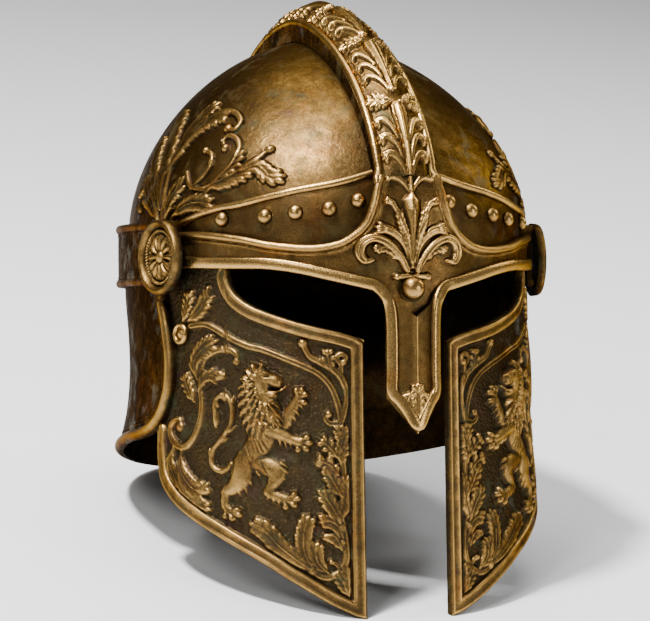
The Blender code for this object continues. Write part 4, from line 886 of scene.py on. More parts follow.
# The lily on the brow, in the photograph's pixels on the wearer's right
LILY_SPEAR = [(415.2, 267.6), (414.3, 244.0), (413.5, 222.0), (413.2, 207.3), (413.2, 195.1)]
LILY_LEAF = [(410.5, 262), (406.8, 240), (402.0, 223), (398.8, 210.4)]
# (pixels along a curling leaf, half width in millimetres)
LILY_HOOKS = [
    ([(409.5, 268), (406.5, 250), (401, 239), (393, 231.5), (384, 228.5)], 3.0),
    ([(406, 232), (399.5, 217), (394.5, 206.5), (389, 203.6)], 1.9),
    ([(410.5, 197), (405, 188), (397.5, 182), (390, 181.4)], 2.2),
]
LILY_STEM = [(412.6, 198), (411.8, 186), (411.2, 172)]
LILY_CURL = [(407, 270.6), (401, 257.3), (390, 243.5), (377, 237.6), (366.5, 242.5), (363.6, 252.5),
             (368.5, 260.5), (376.5, 260)]
LILY_FRINGE = [(401.5, 262), (394, 251), (385, 247), (377.5, 251)]
# Half widths and heights in millimetres along the spear and the curl
LILY_SPEAR_WIDTHS = [1.3, 1.7, 2.6, 3.6, 4.9, 4.8, 0.5]
LILY_SPEAR_HEIGHTS = [2.8, 3.1, 3.5, 3.9, 4.2, 3.6, 1.8]
LILY_CURL_WIDTHS = [1.5, 1.9, 2.2, 2.5, 2.7, 2.6, 2.2, 0.7]
LILY_CURL_HEIGHTS = [2.6, 2.8, 2.9, 3.0, 3.0, 2.9, 2.7, 2.0]
LILY_TIE = [(416.0, 277.5), (407.0, 276.2), (397.5, 277.0)]

# The curling leaves of one length of the comb's vine: (share of the way to its edge, share along the length)
COMB_HOOKS = [
    [(0.10, 0.01), (0.22, 0.13), (0.42, 0.225), (0.62, 0.245), (0.74, 0.225)],
    [(0.15, 0.18), (0.27, 0.32), (0.46, 0.425), (0.66, 0.445), (0.77, 0.425)],
    [(0.20, 0.40), (0.34, 0.53), (0.52, 0.625), (0.70, 0.645), (0.80, 0.625)],
]
COMB_LEAF = [(0.10, 0.84), (0.55, 0.87), (1.02, 0.93)]   # the leaf at each side of a spear's top
COMB_SPEAR = (0.0, 0.3, 0.6, 0.76, 0.84)                  # shares along the length
COMB_HOOK_SIZE, COMB_LEAF_SIZE = (2.9, 2.4), (5.2, 2.7)   # half widths and heights in millimetres
SPEAR_WIDTHS, SPEAR_HEIGHTS = [1.2, 1.8, 2.8, 3.8, 3.6, 0.8], [2.4, 2.6, 2.9, 3.1, 3.0, 2.2]
COMB_LENGTHS = 7
# Millimetres from the edge where its leaves end, and that they keep free
COMB_EDGE, COMB_EDGE_ROOM = 4.2, 4.6
COMB_GROUND, FLANK_PAINTED_SHADE = 0.20, 0.22   # tones of the comb between its leaves and down its sides; the low tone down its sides is painted shade
# Raised borders: (millimetres from the edge, millimetres up)
BROW_BORDER = [(0.0, 0.8), (0.4, 1.5), (1.2, 2.05), (2.0, 2.25), (2.8, 2.05), (3.5, 1.4), (3.9, 0.7),
               (4.2, 0.35), (4.7, 0.75), (5.3, 0.8), (5.8, 0.4), (6.1, 0.0)]
NECK_LINES = [(0.0, 0.0), (3.4, 0.0), (3.9, -0.55), (4.5, 0.35), (5.2, 0.45), (5.8, -0.45), (6.5, 0.25),
              (7.2, 0.3), (7.9, -0.3), (8.6, 0.0)]
# Radius and height of the roundel's rings, in millimetres
ROUNDEL_RINGS = [(0.0, 1.3), (11.6, 1.3), (12.2, 1.3), (12.5, 1.9), (12.8, 1.3), (14.7, 1.2), (15.1, 1.9),
                 (15.7, 3.4), (16.6, 4.5), (17.6, 4.8), (18.5, 4.5), (19.2, 3.5), (19.55, 2.2), (19.6, 0.6)]


def meridian(low, high, count):
    """Heights evenly spaced along the wall over the ear, in metres."""
    z = np.linspace(low, high, 400)
    length = lengths_along(wall(CAP_CENTRE[0], z)[0])
    return np.interp(np.linspace(0, length[-1], count), length, z)


def skull_cap():
    top = DOME_START + DOME_RISE - 1e-6
    arcs = np.sin(np.linspace(0.0, 0.5 * pi, DOME_ROWS)[1:]) ** (2 / DOME_POWER)
    z = np.concatenate([np.linspace(CAP_FOOT, DOME_START, DOME_FOOT_ROWS), DOME_START + DOME_RISE * arcs])
    z[-1] = top
    turns = np.linspace(0.0, 360.0, DOME_COLUMNS, endpoint=False)
    p, n = wall(turns[None, :], z[:, None])
    crown = wall(0.0, top)[0]
    p[-1], n[-1] = p[-1] * 0.02 + crown * 0.98, (0.0, 0.0, 1.0)
    inner = p[::DOME_BACK_STEP] - n[::DOME_BACK_STEP] * PLATE
    rows, columns, deep = len(z), len(turns), len(inner)
    outer_ids = np.arange(rows * columns).reshape(rows, columns)
    inner_ids = rows * columns + np.arange(deep * columns).reshape(deep, columns)
    foot_ids = np.stack([outer_ids[0], inner_ids[0]])
    faces = tube_faces(outer_ids) + tube_faces(inner_ids) + tube_faces(foot_ids)
    faces += [tuple(outer_ids[-1]), tuple(inner_ids[-1])]
    points = np.concatenate([p.reshape(-1, 3), inner.reshape(-1, 3)])
    tone = np.concatenate([np.full(rows * columns, DOME_TONE), np.zeros(deep * columns)])
    piece = mesh_piece("skull_cap_plate", points, faces, MATERIALS["dome"], tone)
    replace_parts(piece, "skull_cap")


def cap_spray(side, label):
    middle, out = wall(*CAP_CENTRE)
    left = unit(np.cross(out, [0.0, 0.0, 1.0]))
    up = np.cross(left, out)
    turn = np.linspace(*SPRAY_TURNS, SPRAY_COLUMNS)[None, :]
    z = meridian(*SPRAY_HEIGHTS, SPRAY_ROWS)[:, None]
    p, n = wall(turn, z)

    def plane(points):
        return np.stack([(points - middle) @ left, (points - middle) @ up], axis=-1) / MM

    flat = plane(p)
    relief = Relief(flat[..., 0], flat[..., 1])
    for pixels, half in CAP_STEMS:
        relief.scroll(plane(wall(*seen(pixels, SPRAY_LIFT))[0]), half, SPRAY_STEM_HEIGHT, 1.35)
    for pixels, half, sides in CAP_LEAVES:
        leaf = plane(wall(*seen(pixels, SPRAY_LIFT))[0])
        relief.leaf(leaf, half * SPRAY_LEAF_SCALE, SPRAY_LEAF_HEIGHT, sides)
    relief.soften()
    mirror = np.array([-side, 1.0, 1.0])
    front, back = (p + n * (relief.h * MM)[..., None]) * mirror, (p - n * SINK * MM) * mirror
    piece = applique(f"cap_spray_{label}_relief", front, back, relief.h, relief.tone(4.2),
                     MATERIALS["spray"])
    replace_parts(piece, f"cap_spray_{label}")


COMB_FOOT_TURN = 9.0   # where the comb's foot ends on the brow band
BROW_TONE, NOSE_TONE, REAR_TONE = 0.42, 0.45, 0.16   # how rubbed the plain metal is; the rear's much lower tone is also painted shade on the back of the helmet
EYE_RIM_TURNS = (70.6, 64, 56, 48, 41, 34, 28, 24, 20, 16.5, 13, 10)
# The rim beside the nose: (share of its place to the side, share of the nose guard's side drop), then its
# foot
NOSE_RIM_SIDE = [(1.32, 0.27), (1.12, 0.33), (1.03, 0.42), (1.0, 0.54), (1.0, 0.66), (1.0, 0.82),
                 (1.0, 0.955)]
NOSE_RIM_FOOT = (0.66, 0.33, 0.0)
# (across, up) as shares of the rim's half width and rise
EYE_RIM_SECTION = [(-1.0, 0.0), (-0.98, 0.5), (-0.88, 0.84), (-0.7, 1.0), (-0.35, 1.1), (0.0, 1.14),
                   (0.35, 1.1), (0.7, 1.0), (0.88, 0.84), (0.98, 0.5), (1.0, 0.0)]


def brow_band():
    turns = np.linspace(-BROW_END_TURN, BROW_END_TURN, BROW_COLUMNS)
    low = -EYE_DROP * along(BROW_EDGE, np.abs(turns))
    high = COMB_FOOT * along(BAND_EDGE, np.abs(turns)) - GAP
    z = low + (high - low) * np.linspace(0, 1, BROW_ROWS)[:, None]
    turn = np.broadcast_to(turns, z.shape)
    out = brow_lift(turn, z)
    relief = Relief(arc_of(turn, "brow"), z / MM)
    t = np.linspace(0.0, BROW_END_TURN, 240)
    edge = np.stack([t, COMB_FOOT * along(BAND_EDGE, t) - GAP], axis=-1)
    relief.h = table_at(BROW_BORDER, away_from(relief, [edge[t > COMB_FOOT_TURN]], "brow"))
    tone = np.clip(BROW_TONE + relief.h / 3.6, 0, 1)
    p, n = wall(turn, z)
    front, back = p + n * (out + relief.h * MM)[..., None], p + n * (out - BAND)[..., None]
    piece = plate("brow_band_plate", front, back, tone, MATERIALS["band"])
    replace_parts(piece, "brow_band")


def brow_point(x, z):
    turn = turn_of(x, z)
    return lifted(turn, z, brow_lift(turn, z))


def nose_point(x, z):
    return lifted(turn_of(x, z), z, nose_lift(x))


def face_places(point_at, x, z):
    """(points, normals) on the brow or the nose guard at x to the side and height z."""
    step = NOSE_HALF / 20
    across = point_at(x + step, z) - point_at(x - step, z)
    up = point_at(x, z + step) - point_at(x, z - step)
    return point_at(x, z), unit(np.cross(across, up))


def nose_guard():
    share = np.linspace(-1, 1, NOSE_COLUMNS)
    x = NOSE_HALF * share
    top_turn = np.abs(turn_of(x, -EYE_DROP * 0.5))
    top = -EYE_DROP * along(BROW_EDGE, top_turn) - 2 * GAP
    low = -NOSE_DROP + (NOSE_DROP - NOSE_SIDE_DROP) * np.abs(share)
    z = low + (top - low) * np.linspace(0, 1, NOSE_ROWS)[:, None]
    wide = np.broadcast_to(x, z.shape)
    turn = turn_of(wide, z)
    lift = nose_lift(wide)
    p, n = wall(turn, z)
    ridge = 0.5 * MM * np.exp(-((wide / (1.3 * MM)) ** 2))
    tone = np.clip(NOSE_TONE + 0.5 * np.exp(-((wide / (1.6 * MM)) ** 2)), 0, 1)
    front, back = p + n * (lift + ridge)[..., None], p + n * (lift - BAND)[..., None]
    piece = plate("nose_guard_plate", front, back, tone, MATERIALS["band"])
    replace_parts(piece, "nose_guard")


def eye_rim():
    turns = np.array(EYE_RIM_TURNS)
    z = -EYE_DROP * along(BROW_EDGE, turns) + RIM_HALF * 0.95
    over = face_places(brow_point, wall(turns, z)[0][..., 0], z)
    inset = NOSE_HALF - RIM_HALF * 0.9
    sides, foot = np.array(NOSE_RIM_SIDE), np.array(NOSE_RIM_FOOT)
    low = NOSE_DROP - RIM_HALF * 1.4
    x = np.concatenate([sides[:, 0], foot]) * inset
    z = np.concatenate([-NOSE_SIDE_DROP * sides[:, 1], -low + (NOSE_DROP - NOSE_SIDE_DROP) * foot])
    under = face_places(nose_point, x, z)
    half = np.concatenate([np.hstack(over), np.hstack(under)])
    mirror = half[-2::-1] * np.array([-1, 1, 1, -1, 1, 1])
    route = smooth(np.concatenate([half, mirror]), 6)
    piece = bead("eye_rim_moulding", route[:, :3], unit(route[:, 3:]), RIM_HALF, RIM_RISE * 1.1,
                 MATERIALS["bright"],
                 base=GAP, section=EYE_RIM_SECTION)
    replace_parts(piece, "eye_rim")


def face_relief(name, node_name, point_at, x, z, draw, rise):
    """A raised ornament over the brow or the nose, mirrored about the middle of the face."""
    wide, tall = np.meshgrid(x, z)
    p = point_at(wide, tall)
    n = unit(np.cross(np.gradient(p, axis=1), np.gradient(p, axis=0)))
    relief = Relief(np.abs(wide) / MM, tall / MM)
    draw(relief)
    relief.soften()
    piece = applique(name, p + n * (relief.h * MM)[..., None], p - n * SINK * MM, relief.h,
                     relief.tone(rise),
                     MATERIALS["bright"])
    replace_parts(piece, node_name)


def across_and_up(pixels, lift):
    turn, z = seen(pixels, lift)
    return np.stack([np.abs(lifted(turn, z, np.full(len(z), lift))[:, 0]), z], axis=-1) / MM


def lily(relief):
    relief.stroke(across_and_up(LILY_STEM, LILY_LIFT) * (0.0, 1.0), [1.0, 1.4], [2.6])
    spear = across_and_up(LILY_SPEAR, LILY_LIFT) * (0.0, 1.0)
    relief.stroke(smooth(spear, 6), LILY_SPEAR_WIDTHS, LILY_SPEAR_HEIGHTS, "ridge")
    relief.leaf(across_and_up(LILY_LEAF, LILY_LIFT), 1.5, 2.4)
    for pixels, half in LILY_HOOKS:
        relief.hook(across_and_up(pixels, LILY_LIFT), half, 2.7)
    relief.leaf(across_and_up(LILY_FRINGE, LILY_LIFT), 2.6, 2.1)
    curl = smooth(across_and_up(LILY_CURL, LILY_LIFT))
    relief.stroke(curl, LILY_CURL_WIDTHS, LILY_CURL_HEIGHTS, "full")
    relief.groove(curl[:-8], 0.5, 0.7)
    tie = across_and_up(LILY_TIE, LILY_LIFT)
    tie[0, 0] = 0.0
    relief.stroke(smooth(tie, 4), [1.5, 1.6, 1.5], [3.2, 3.2, 3.0], "full")
    relief.knob(tie[-1], 2.2, 3.4)


def nose_sprig(relief):
    foot = -NOSE_DROP / MM
    relief.leaf([(0.0, foot + 9), (0.0, foot + 16), (0.0, foot + 25)], 2.8, 2.0)
    relief.leaf([(0.6, foot + 10), (3.2, foot + 15), (5.2, foot + 20)], 2.2, 1.9)
    relief.scroll([(0.8, foot + 9), (4.4, foot + 11), (6.4, foot + 15), (4.6, foot + 17)], 0.9, 1.7, 1.3)


def comb_middle(angle):
    """(points, normals) of the dome under the comb's middle line, at arc angles in degrees."""
    z = DOME_START + DOME_RISE * np.sin(np.radians(angle)) ** (2 / DOME_POWER)
    return wall(np.where(angle <= 90, 0.0, 180.0), np.minimum(z, DOME_START + DOME_RISE - 1e-7))


def comb_frame(share, angle):
    """(points, normals) over the comb, for shares of its half width and arc angles in degrees."""
    p, n = comb_middle(angle)
    rise = COMB_RISE * along(COMB_CROWN, angle)
    lift = rise * along(COMB_OUTSIDE, share)
    ahead, behind = along(COMB_OUTSIDE, share + 0.05), along(COMB_OUTSIDE, share - 0.05)
    slope = rise * (ahead - behind) / (0.1 * COMB_HALF)
    side = np.array([1.0, 0.0, 0.0])
    return p + n * lift[..., None] + side * (share * COMB_HALF)[..., None], unit(n - side * slope[..., None])


def comb_seat(p, n, x):
    """Points on the dome x to the side of its middle line, straight under the comb."""
    low, high = np.full(len(p), -0.02), np.full(len(p), 0.004)
    side = p + np.array([x, 0.0, 0.0])
    for _ in range(BISECTIONS):
        middle = (low + high) / 2
        inside = outside_of(side + n * middle[:, None]) < 1
        low, high = np.where(inside, middle, low), np.where(inside, high, middle)
    return side + n * (low + 1.6 * GAP)[:, None]


def comb():
    share = np.linspace(-1, 1, COMB_COLUMNS)
    angle = np.linspace(COMB_CROWN[0][0] - 0.25, COMB_CROWN[-1][0] - 1, COMB_ROWS)
    wide, way = np.broadcast_arrays(share, angle[:, None])
    p, n = comb_frame(wide, way)
    middle, over = p[:, COMB_COLUMNS // 2], p[COMB_ROWS // 2]
    length, reach = lengths_along(middle) / MM, lengths_along(over) / MM
    reach = np.abs(reach - reach[COMB_COLUMNS // 2])
    relief = Relief(reach * np.sign(wide), np.broadcast_to(length[:, None], wide.shape))
    clear, one = reach.max() - COMB_EDGE_ROOM, length[-1] / COMB_LENGTHS
    for k in range(COMB_LENGTHS):
        start = k * one
        for side in (-1, 1):
            for pair in COMB_HOOKS:
                relief.hook([(side * across * clear, start + one * run) for across, run in pair],
                            *COMB_HOOK_SIZE)
            relief.leaf([(side * across * clear, start + one * run) for across, run in COMB_LEAF],
                        *COMB_LEAF_SIZE)
        spear = smooth([(0.0, start + one * run) for run in COMB_SPEAR], 5)
        relief.stroke(spear, SPEAR_WIDTHS, SPEAR_HEIGHTS, "fluted")
    relief.soften()
    edge = reach.max() - np.abs(relief.u)
    relief.h = np.maximum(relief.h * (edge > COMB_EDGE), table_at(COMB_BORDER, edge))
    tone = np.maximum(relief.tone(3.4), COMB_GROUND)
    base, up = comb_middle(angle)
    feet = [comb_seat(base, up, x * COMB_HALF)[:, None] for x in (-1, 1)]
    front = np.concatenate([feet[0], p + n * (relief.h * MM)[..., None], feet[1]], axis=1)
    inner = [comb_seat(base, up, x * COMB_INNER * COMB_HALF)[:, None] for x in (-1, 1)]
    under, under_n = comb_frame(wide * COMB_INNER, way)
    back = np.concatenate([inner[0], under - under_n * PLATE, inner[1]], axis=1)
    # The comb's feet take the flank tone: painted shade down its sides
    tone = np.pad(tone, ((0, 0), (1, 1)), constant_values=FLANK_PAINTED_SHADE)
    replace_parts(plate("comb_crest", front, back, tone, MATERIALS["bright"]), "comb",
                "comb_vine")


def comb_edge(side, label):
    angle = np.linspace(COMB_CROWN[0][0] + 2.0, COMB_CROWN[-1][0] - 1.2, 60)
    over = np.hstack(comb_frame(np.full(len(angle), 0.88 * side), angle))
    foot = np.array([0.90, 0.97]) * COMB_FOOT
    turn = np.full(len(foot), BEAD_TURN * side)
    low = np.hstack([lifted(turn, foot, brow_lift(turn, foot)), wall(turn, foot)[1]])
    route = smooth(np.concatenate([low, over]), 4)
    piece = bead(f"comb_bead_{label}", route[:, :3], unit(route[:, 3:]), CORD_HALF, CORD_RISE,
                 MATERIALS["bright"])
    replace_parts(piece, f"comb_edge_{label}")


def cap_moulding(side, label):
    rows = smooth(CAP_MOULDING, 10)
    p, n = wall(rows[:, 0] * side, rows[:, 1] * COMB_FOOT)
    piece = bead(f"cap_bead_{label}", p, n, CORD_HALF * 0.95, CORD_RISE * 0.95, MATERIALS["bright"])
    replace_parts(piece, f"cap_moulding_{label}")


# The neck guard's front edge: (turn, share of the neck drop), then the turns along its foot
NECK_FRONT = [(81.6, 0.20), (79.2, 0.28), (77.0, 0.38), (75.8, 0.47), (75.9, 0.56), (77.2, 0.63),
              (80.0, 0.70), (84.4, 0.745), (90.0, 0.775)]
NECK_FOOT_TURNS = (97, 104, 112, 120, 128, 136, 144, 152, 160, 166, 173, 180)
NECK_ROLL_INSET = 0.022
# Tones at the roll's foot and on its crest: the dark foot is painted shade, the bright crest rubbing
NECK_ROLL_TONES = (0.15, 0.95)


def neck_route():
    """The neck guard's rolled edge as (turn, z), down its front edge and round its foot."""
    turns = np.array(NECK_FOOT_TURNS)
    foot = np.stack([turns, along(NECK_EDGE, turns, 2) - NECK_ROLL_INSET], axis=-1)
    half = np.concatenate([NECK_FRONT, foot])
    other = half[-2::-1] * (-1, 1) + (360, 0)
    route = smooth(np.concatenate([half, other]), 5)
    return np.stack([route[:, 0], -NECK_DROP * route[:, 1]], axis=-1)


def neck_guard():
    first = NECK_EDGE[0][0]
    turns = np.linspace(first, 360 - first, NECK_COLUMNS)
    near = np.minimum(turns, 360 - turns)
    high = np.minimum(-NECK_DROP * along(NECK_EDGE, near, 1), CAP_FOOT - GAP)
    low = -NECK_DROP * along(NECK_EDGE, near, 2)
    z = low + (high - low) * np.linspace(0, 1, NECK_ROWS)[:, None]
    turn = np.broadcast_to(turns, z.shape)
    folded = np.minimum(turn, 360 - turn)
    relief = Relief(arc_of(folded, "brow"), z / MM)
    route = neck_route()
    relief.h = table_at(NECK_LINES, away_from(relief, [route[route[:, 0] <= 180]], "brow"))
    p, n = wall(turn, z)
    tone = np.clip(REAR_TONE + relief.h * 0.5, 0, 1)
    front = p + n * (GAP + PLATE + relief.h * MM)[..., None]
    piece = plate("neck_guard_plate", front, p + n * GAP, tone, MATERIALS["band"])
    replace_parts(piece, "neck_guard")


def neck_rim():
    route = neck_route()
    p, n = wall(route[:, 0], route[:, 1])
    piece = bead("neck_roll", p + n * (GAP + PLATE), n, RIM_HALF, RIM_RISE * 1.5, MATERIALS["band"],
                 tones=NECK_ROLL_TONES)
    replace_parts(piece, "neck_rim")


def rear_band():
    first = BROW_END_TURN + 0.6
    turns = np.linspace(first, 360 - first, REAR_COLUMNS)
    z = REAR_BAND_MIDDLE + REAR_BAND_HALF * np.linspace(-1, 1, REAR_ROWS)[:, None]
    away = (REAR_BAND_HALF - np.abs(z - REAR_BAND_MIDDLE)) / MM
    rise = table_at(REAR_BORDER, away) * np.ones(len(turns))
    p, n = wall(turns, z)
    inner = np.interp(z, [CAP_FOOT, CAP_FOOT + SEAM_STEP], [rear_band_lift(), 3 * GAP]) * np.ones(len(turns))
    tone = np.clip(REAR_TONE + rise / 3.0, 0, 1)
    front = p + n * (rear_band_lift() + REAR_BAND + rise * MM)[..., None]
    piece = plate("rear_band_plate", front, p + n * inner[..., None], tone, MATERIALS["band"])
    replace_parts(piece, "rear_band")


def roundel_height(r, a):
    """Height in millimetres of the roundel and its rosette at a radius in millimetres and an angle."""
    h = table_at(ROUNDEL_RINGS, r)
    row = np.abs(np.cos(BEADS * a / 2)) ** 0.5
    beads = 1.5 + 1.5 * np.sqrt(np.clip(1 - ((r - 13.7) / 0.9) ** 2, 0, 1)) * row
    h = np.where((r > 12.8) & (r < 14.6), np.maximum(h, beads), h)
    petal = np.abs(np.cos(PETALS * a / 2))
    half_long = np.clip(1 - ((r - 7.6) / 4.7) ** 2, 0, 1)
    ripe = 1.0 + 2.5 * np.sqrt(half_long) * petal**0.8 - 0.9 * np.exp(-((1 - petal) / 0.004) ** 2)
    h = np.where(r < 12.3, np.maximum(h, ripe * (half_long > 0)), h)
    between = 1.0 + 1.6 * np.clip(1 - ((r - 10.6) / 1.8) ** 2, 0, 1) * np.abs(np.sin(PETALS * a / 2)) ** 3
    h = np.where(r < 12.3, np.maximum(h, between), h)
    button = 4.6 * np.sqrt(np.clip(1 - (r / 3.4) ** 2, 0, 1))
    return np.maximum(h, np.where(r < 3.4, 1.3 + button * 0.6, 0.0))


def roundel(side, label):
    r = np.concatenate([np.linspace(0.25, 15.0, 44), np.linspace(15.2, ROUNDEL_RADIUS / MM, 18)])[:, None]
    a = np.linspace(0, 2 * pi, 252, endpoint=False)
    h = roundel_height(r, a)
    centre, n = wall(ROUNDEL_TURN * side, 0.0)
    centre = centre + n * (rear_band_lift() + REAR_BAND + REAR_BAND_EDGE)
    across = unit(np.cross(n, [0.0, 0.0, 1.0]))
    up = np.cross(across, n)
    flat = (r * np.cos(a))[..., None] * across + (r * np.sin(a))[..., None] * up
    top = centre + (flat + h[..., None] * n) * MM
    rings, sides = h.shape
    ids = np.arange(rings * sides).reshape(rings, sides)
    rim = centre + flat[-1] * MM
    under = rings * sides + np.arange(sides)
    faces = tube_faces(ids) + tube_faces(np.stack([ids[-1], under])) + [tuple(ids[0]), tuple(under)]
    # The roundel's tone: bright on its raised rings and petals, dark in its low ground as painted shade with
    # the patina, and its outer ring kept duller
    rubbed = np.clip((h - 1.3) / 1.8, 0, 1) * np.where(r > 14.8, 0.62, 1.0)
    tone = np.concatenate([rubbed.ravel(), np.zeros(sides)])
    piece = mesh_piece(f"roundel_{label}_rosette", np.concatenate([top.reshape(-1, 3), rim]), faces,
                       MATERIALS["spray"], tone)
    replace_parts(piece, f"roundel_{label}", f"rosette_{label}")


# The turned pieces: (share of the radius, height in millimetres)
STUD_RINGS = [(1.0, -0.3), (1.0, 1.2), (0.96, 1.9), (0.87, 2.5), (0.76, 2.7), (0.66, 2.5), (0.58, 1.9),
              (0.55, 1.2), (0.46, 1.1), (0.40, 1.3), (0.30, 1.9), (0.18, 2.3), (0.04, 2.45)]
BOSS_COLLAR = [(1.12, -0.3), (1.12, 0.5), (1.04, 0.9), (0.99, 0.9)]
BOSS_FOOT, BOSS_HEIGHT = 0.9, -0.38 * EYE_DROP
POLE = 0.5 * pi - 0.04   # a ball's last ring lies a little before its pole
RIVET_SIDES, STUD_SIDES, BOSS_SIDES = 36, 48, 64


def rivets(side, label):
    radius = RIVET_RADIUS / MM
    head = [(radius * cos(a), radius * 0.85 * sin(a)) for a in np.linspace(0.0, POLE, 14)]
    for number, (turn, share) in enumerate(RIVETS, 1):
        p, n = wall(turn * side, share * COMB_FOOT)
        button(f"rivet_head_{label}_{number}", f"rivet_{label}_{number}", p, n,
               [(radius * 0.96, -0.3)] + head,
               RIVET_SIDES)


def stud(side, label):
    turn, z = seen([STUD_PIXEL], CHEEK_RELIEF_LIFT)
    p, n = wall(abs(turn[0]) * side, z[0])
    profile = [(share * STUD_RADIUS / MM, height) for share, height in STUD_RINGS]
    button(f"stud_ring_{label}", f"cheek_stud_{label}", p, n, profile, STUD_SIDES)


def brow_boss():
    p, n = wall(0.0, BOSS_HEIGHT)
    base = p + n * float(brow_lift(0.0, BOSS_HEIGHT))
    radius = BOSS_RADIUS / MM
    collar = [(radius * share, height) for share, height in BOSS_COLLAR]
    ball = [(radius * cos(a), BOSS_FOOT + radius * 1.02 * sin(a)) for a in np.linspace(0.06, POLE, 22)]
    button("boss_ball", "brow_boss", base, n, collar + ball, BOSS_SIDES)


EDGE_PAINTED_SHADE = (0.20, 0.19, 0.17)   # painted shade: the share of the light that bronze keeps where it is seen edge on, kept low to darken the edges
COPPER, VERDIGRIS = (0.50, 0.24, 0.10), (0.040, 0.050, 0.020)
PURPLE, TARNISH = (0.080, 0.038, 0.034), (0.016, 0.010, 0.005)
# Mottling: scale, detail, roughness and distortion of each noise
CLOUDS, PATCHES = (48.0, 6.0, 0.62, 0.5), (130.0, 6.0, 0.7, 0.3)
SPECKLE, PITS = (1250.0, 3.0, 0.75), (1900.0, 2.0, 0.6)
COPPER_CLOUDS, GREEN_CLOUDS = (62.0, 5.0, 0.6, 0.4), (74.0, 7.0, 0.7, 0.3)
PURPLE_CLOUDS = (88.0, 6.0, 0.65, 0.2)
PUNCH_SCALE = 620.0


def node(tree, kind, inputs=(), **settings):
    """A shader node with its settings and its inputs, which are values or other nodes' outputs."""
    made = tree.nodes.new(kind)
    for key, value in settings.items():
        setattr(made, key, value)
    for key, value in dict(inputs).items():
        if isinstance(value, bpy.types.NodeSocket):
            tree.links.new(value, made.inputs[key])
        else:
            made.inputs[key].default_value = value
    return made


def ramp(tree, value, low, high):
    """Maps low..high of a value onto 0..1, held there outside them."""
    return node(tree, "ShaderNodeMapRange", {"Value": value, "From Min": low,
                                             "From Max": high}).outputs["Result"]


def blend(tree, share, a, b, kind="MIX"):
    mixed = node(tree, "ShaderNodeMix", {"Factor": share}, data_type="RGBA", blend_type=kind)
    for socket, value in ((mixed.inputs[6], a), (mixed.inputs[7], b)):
        if isinstance(value, bpy.types.NodeSocket):
            tree.links.new(value, socket)
        else:
            socket.default_value = (*value, 1.0)
    return mixed.outputs[2]


def maths(tree, kind, a, b):
    return node(tree, "ShaderNodeMath", {0: a, 1: b}, operation=kind).outputs[0]


def noise(tree, scale, detail=4.0, roughness=0.6, distortion=0.0):
    place = node(tree, "ShaderNodeTexCoord").outputs["Object"]
    return node(tree, "ShaderNodeTexNoise", {"Vector": place, "Scale": scale, "Detail": detail,
                                             "Roughness": roughness,
                                             "Distortion": distortion}).outputs["Fac"]


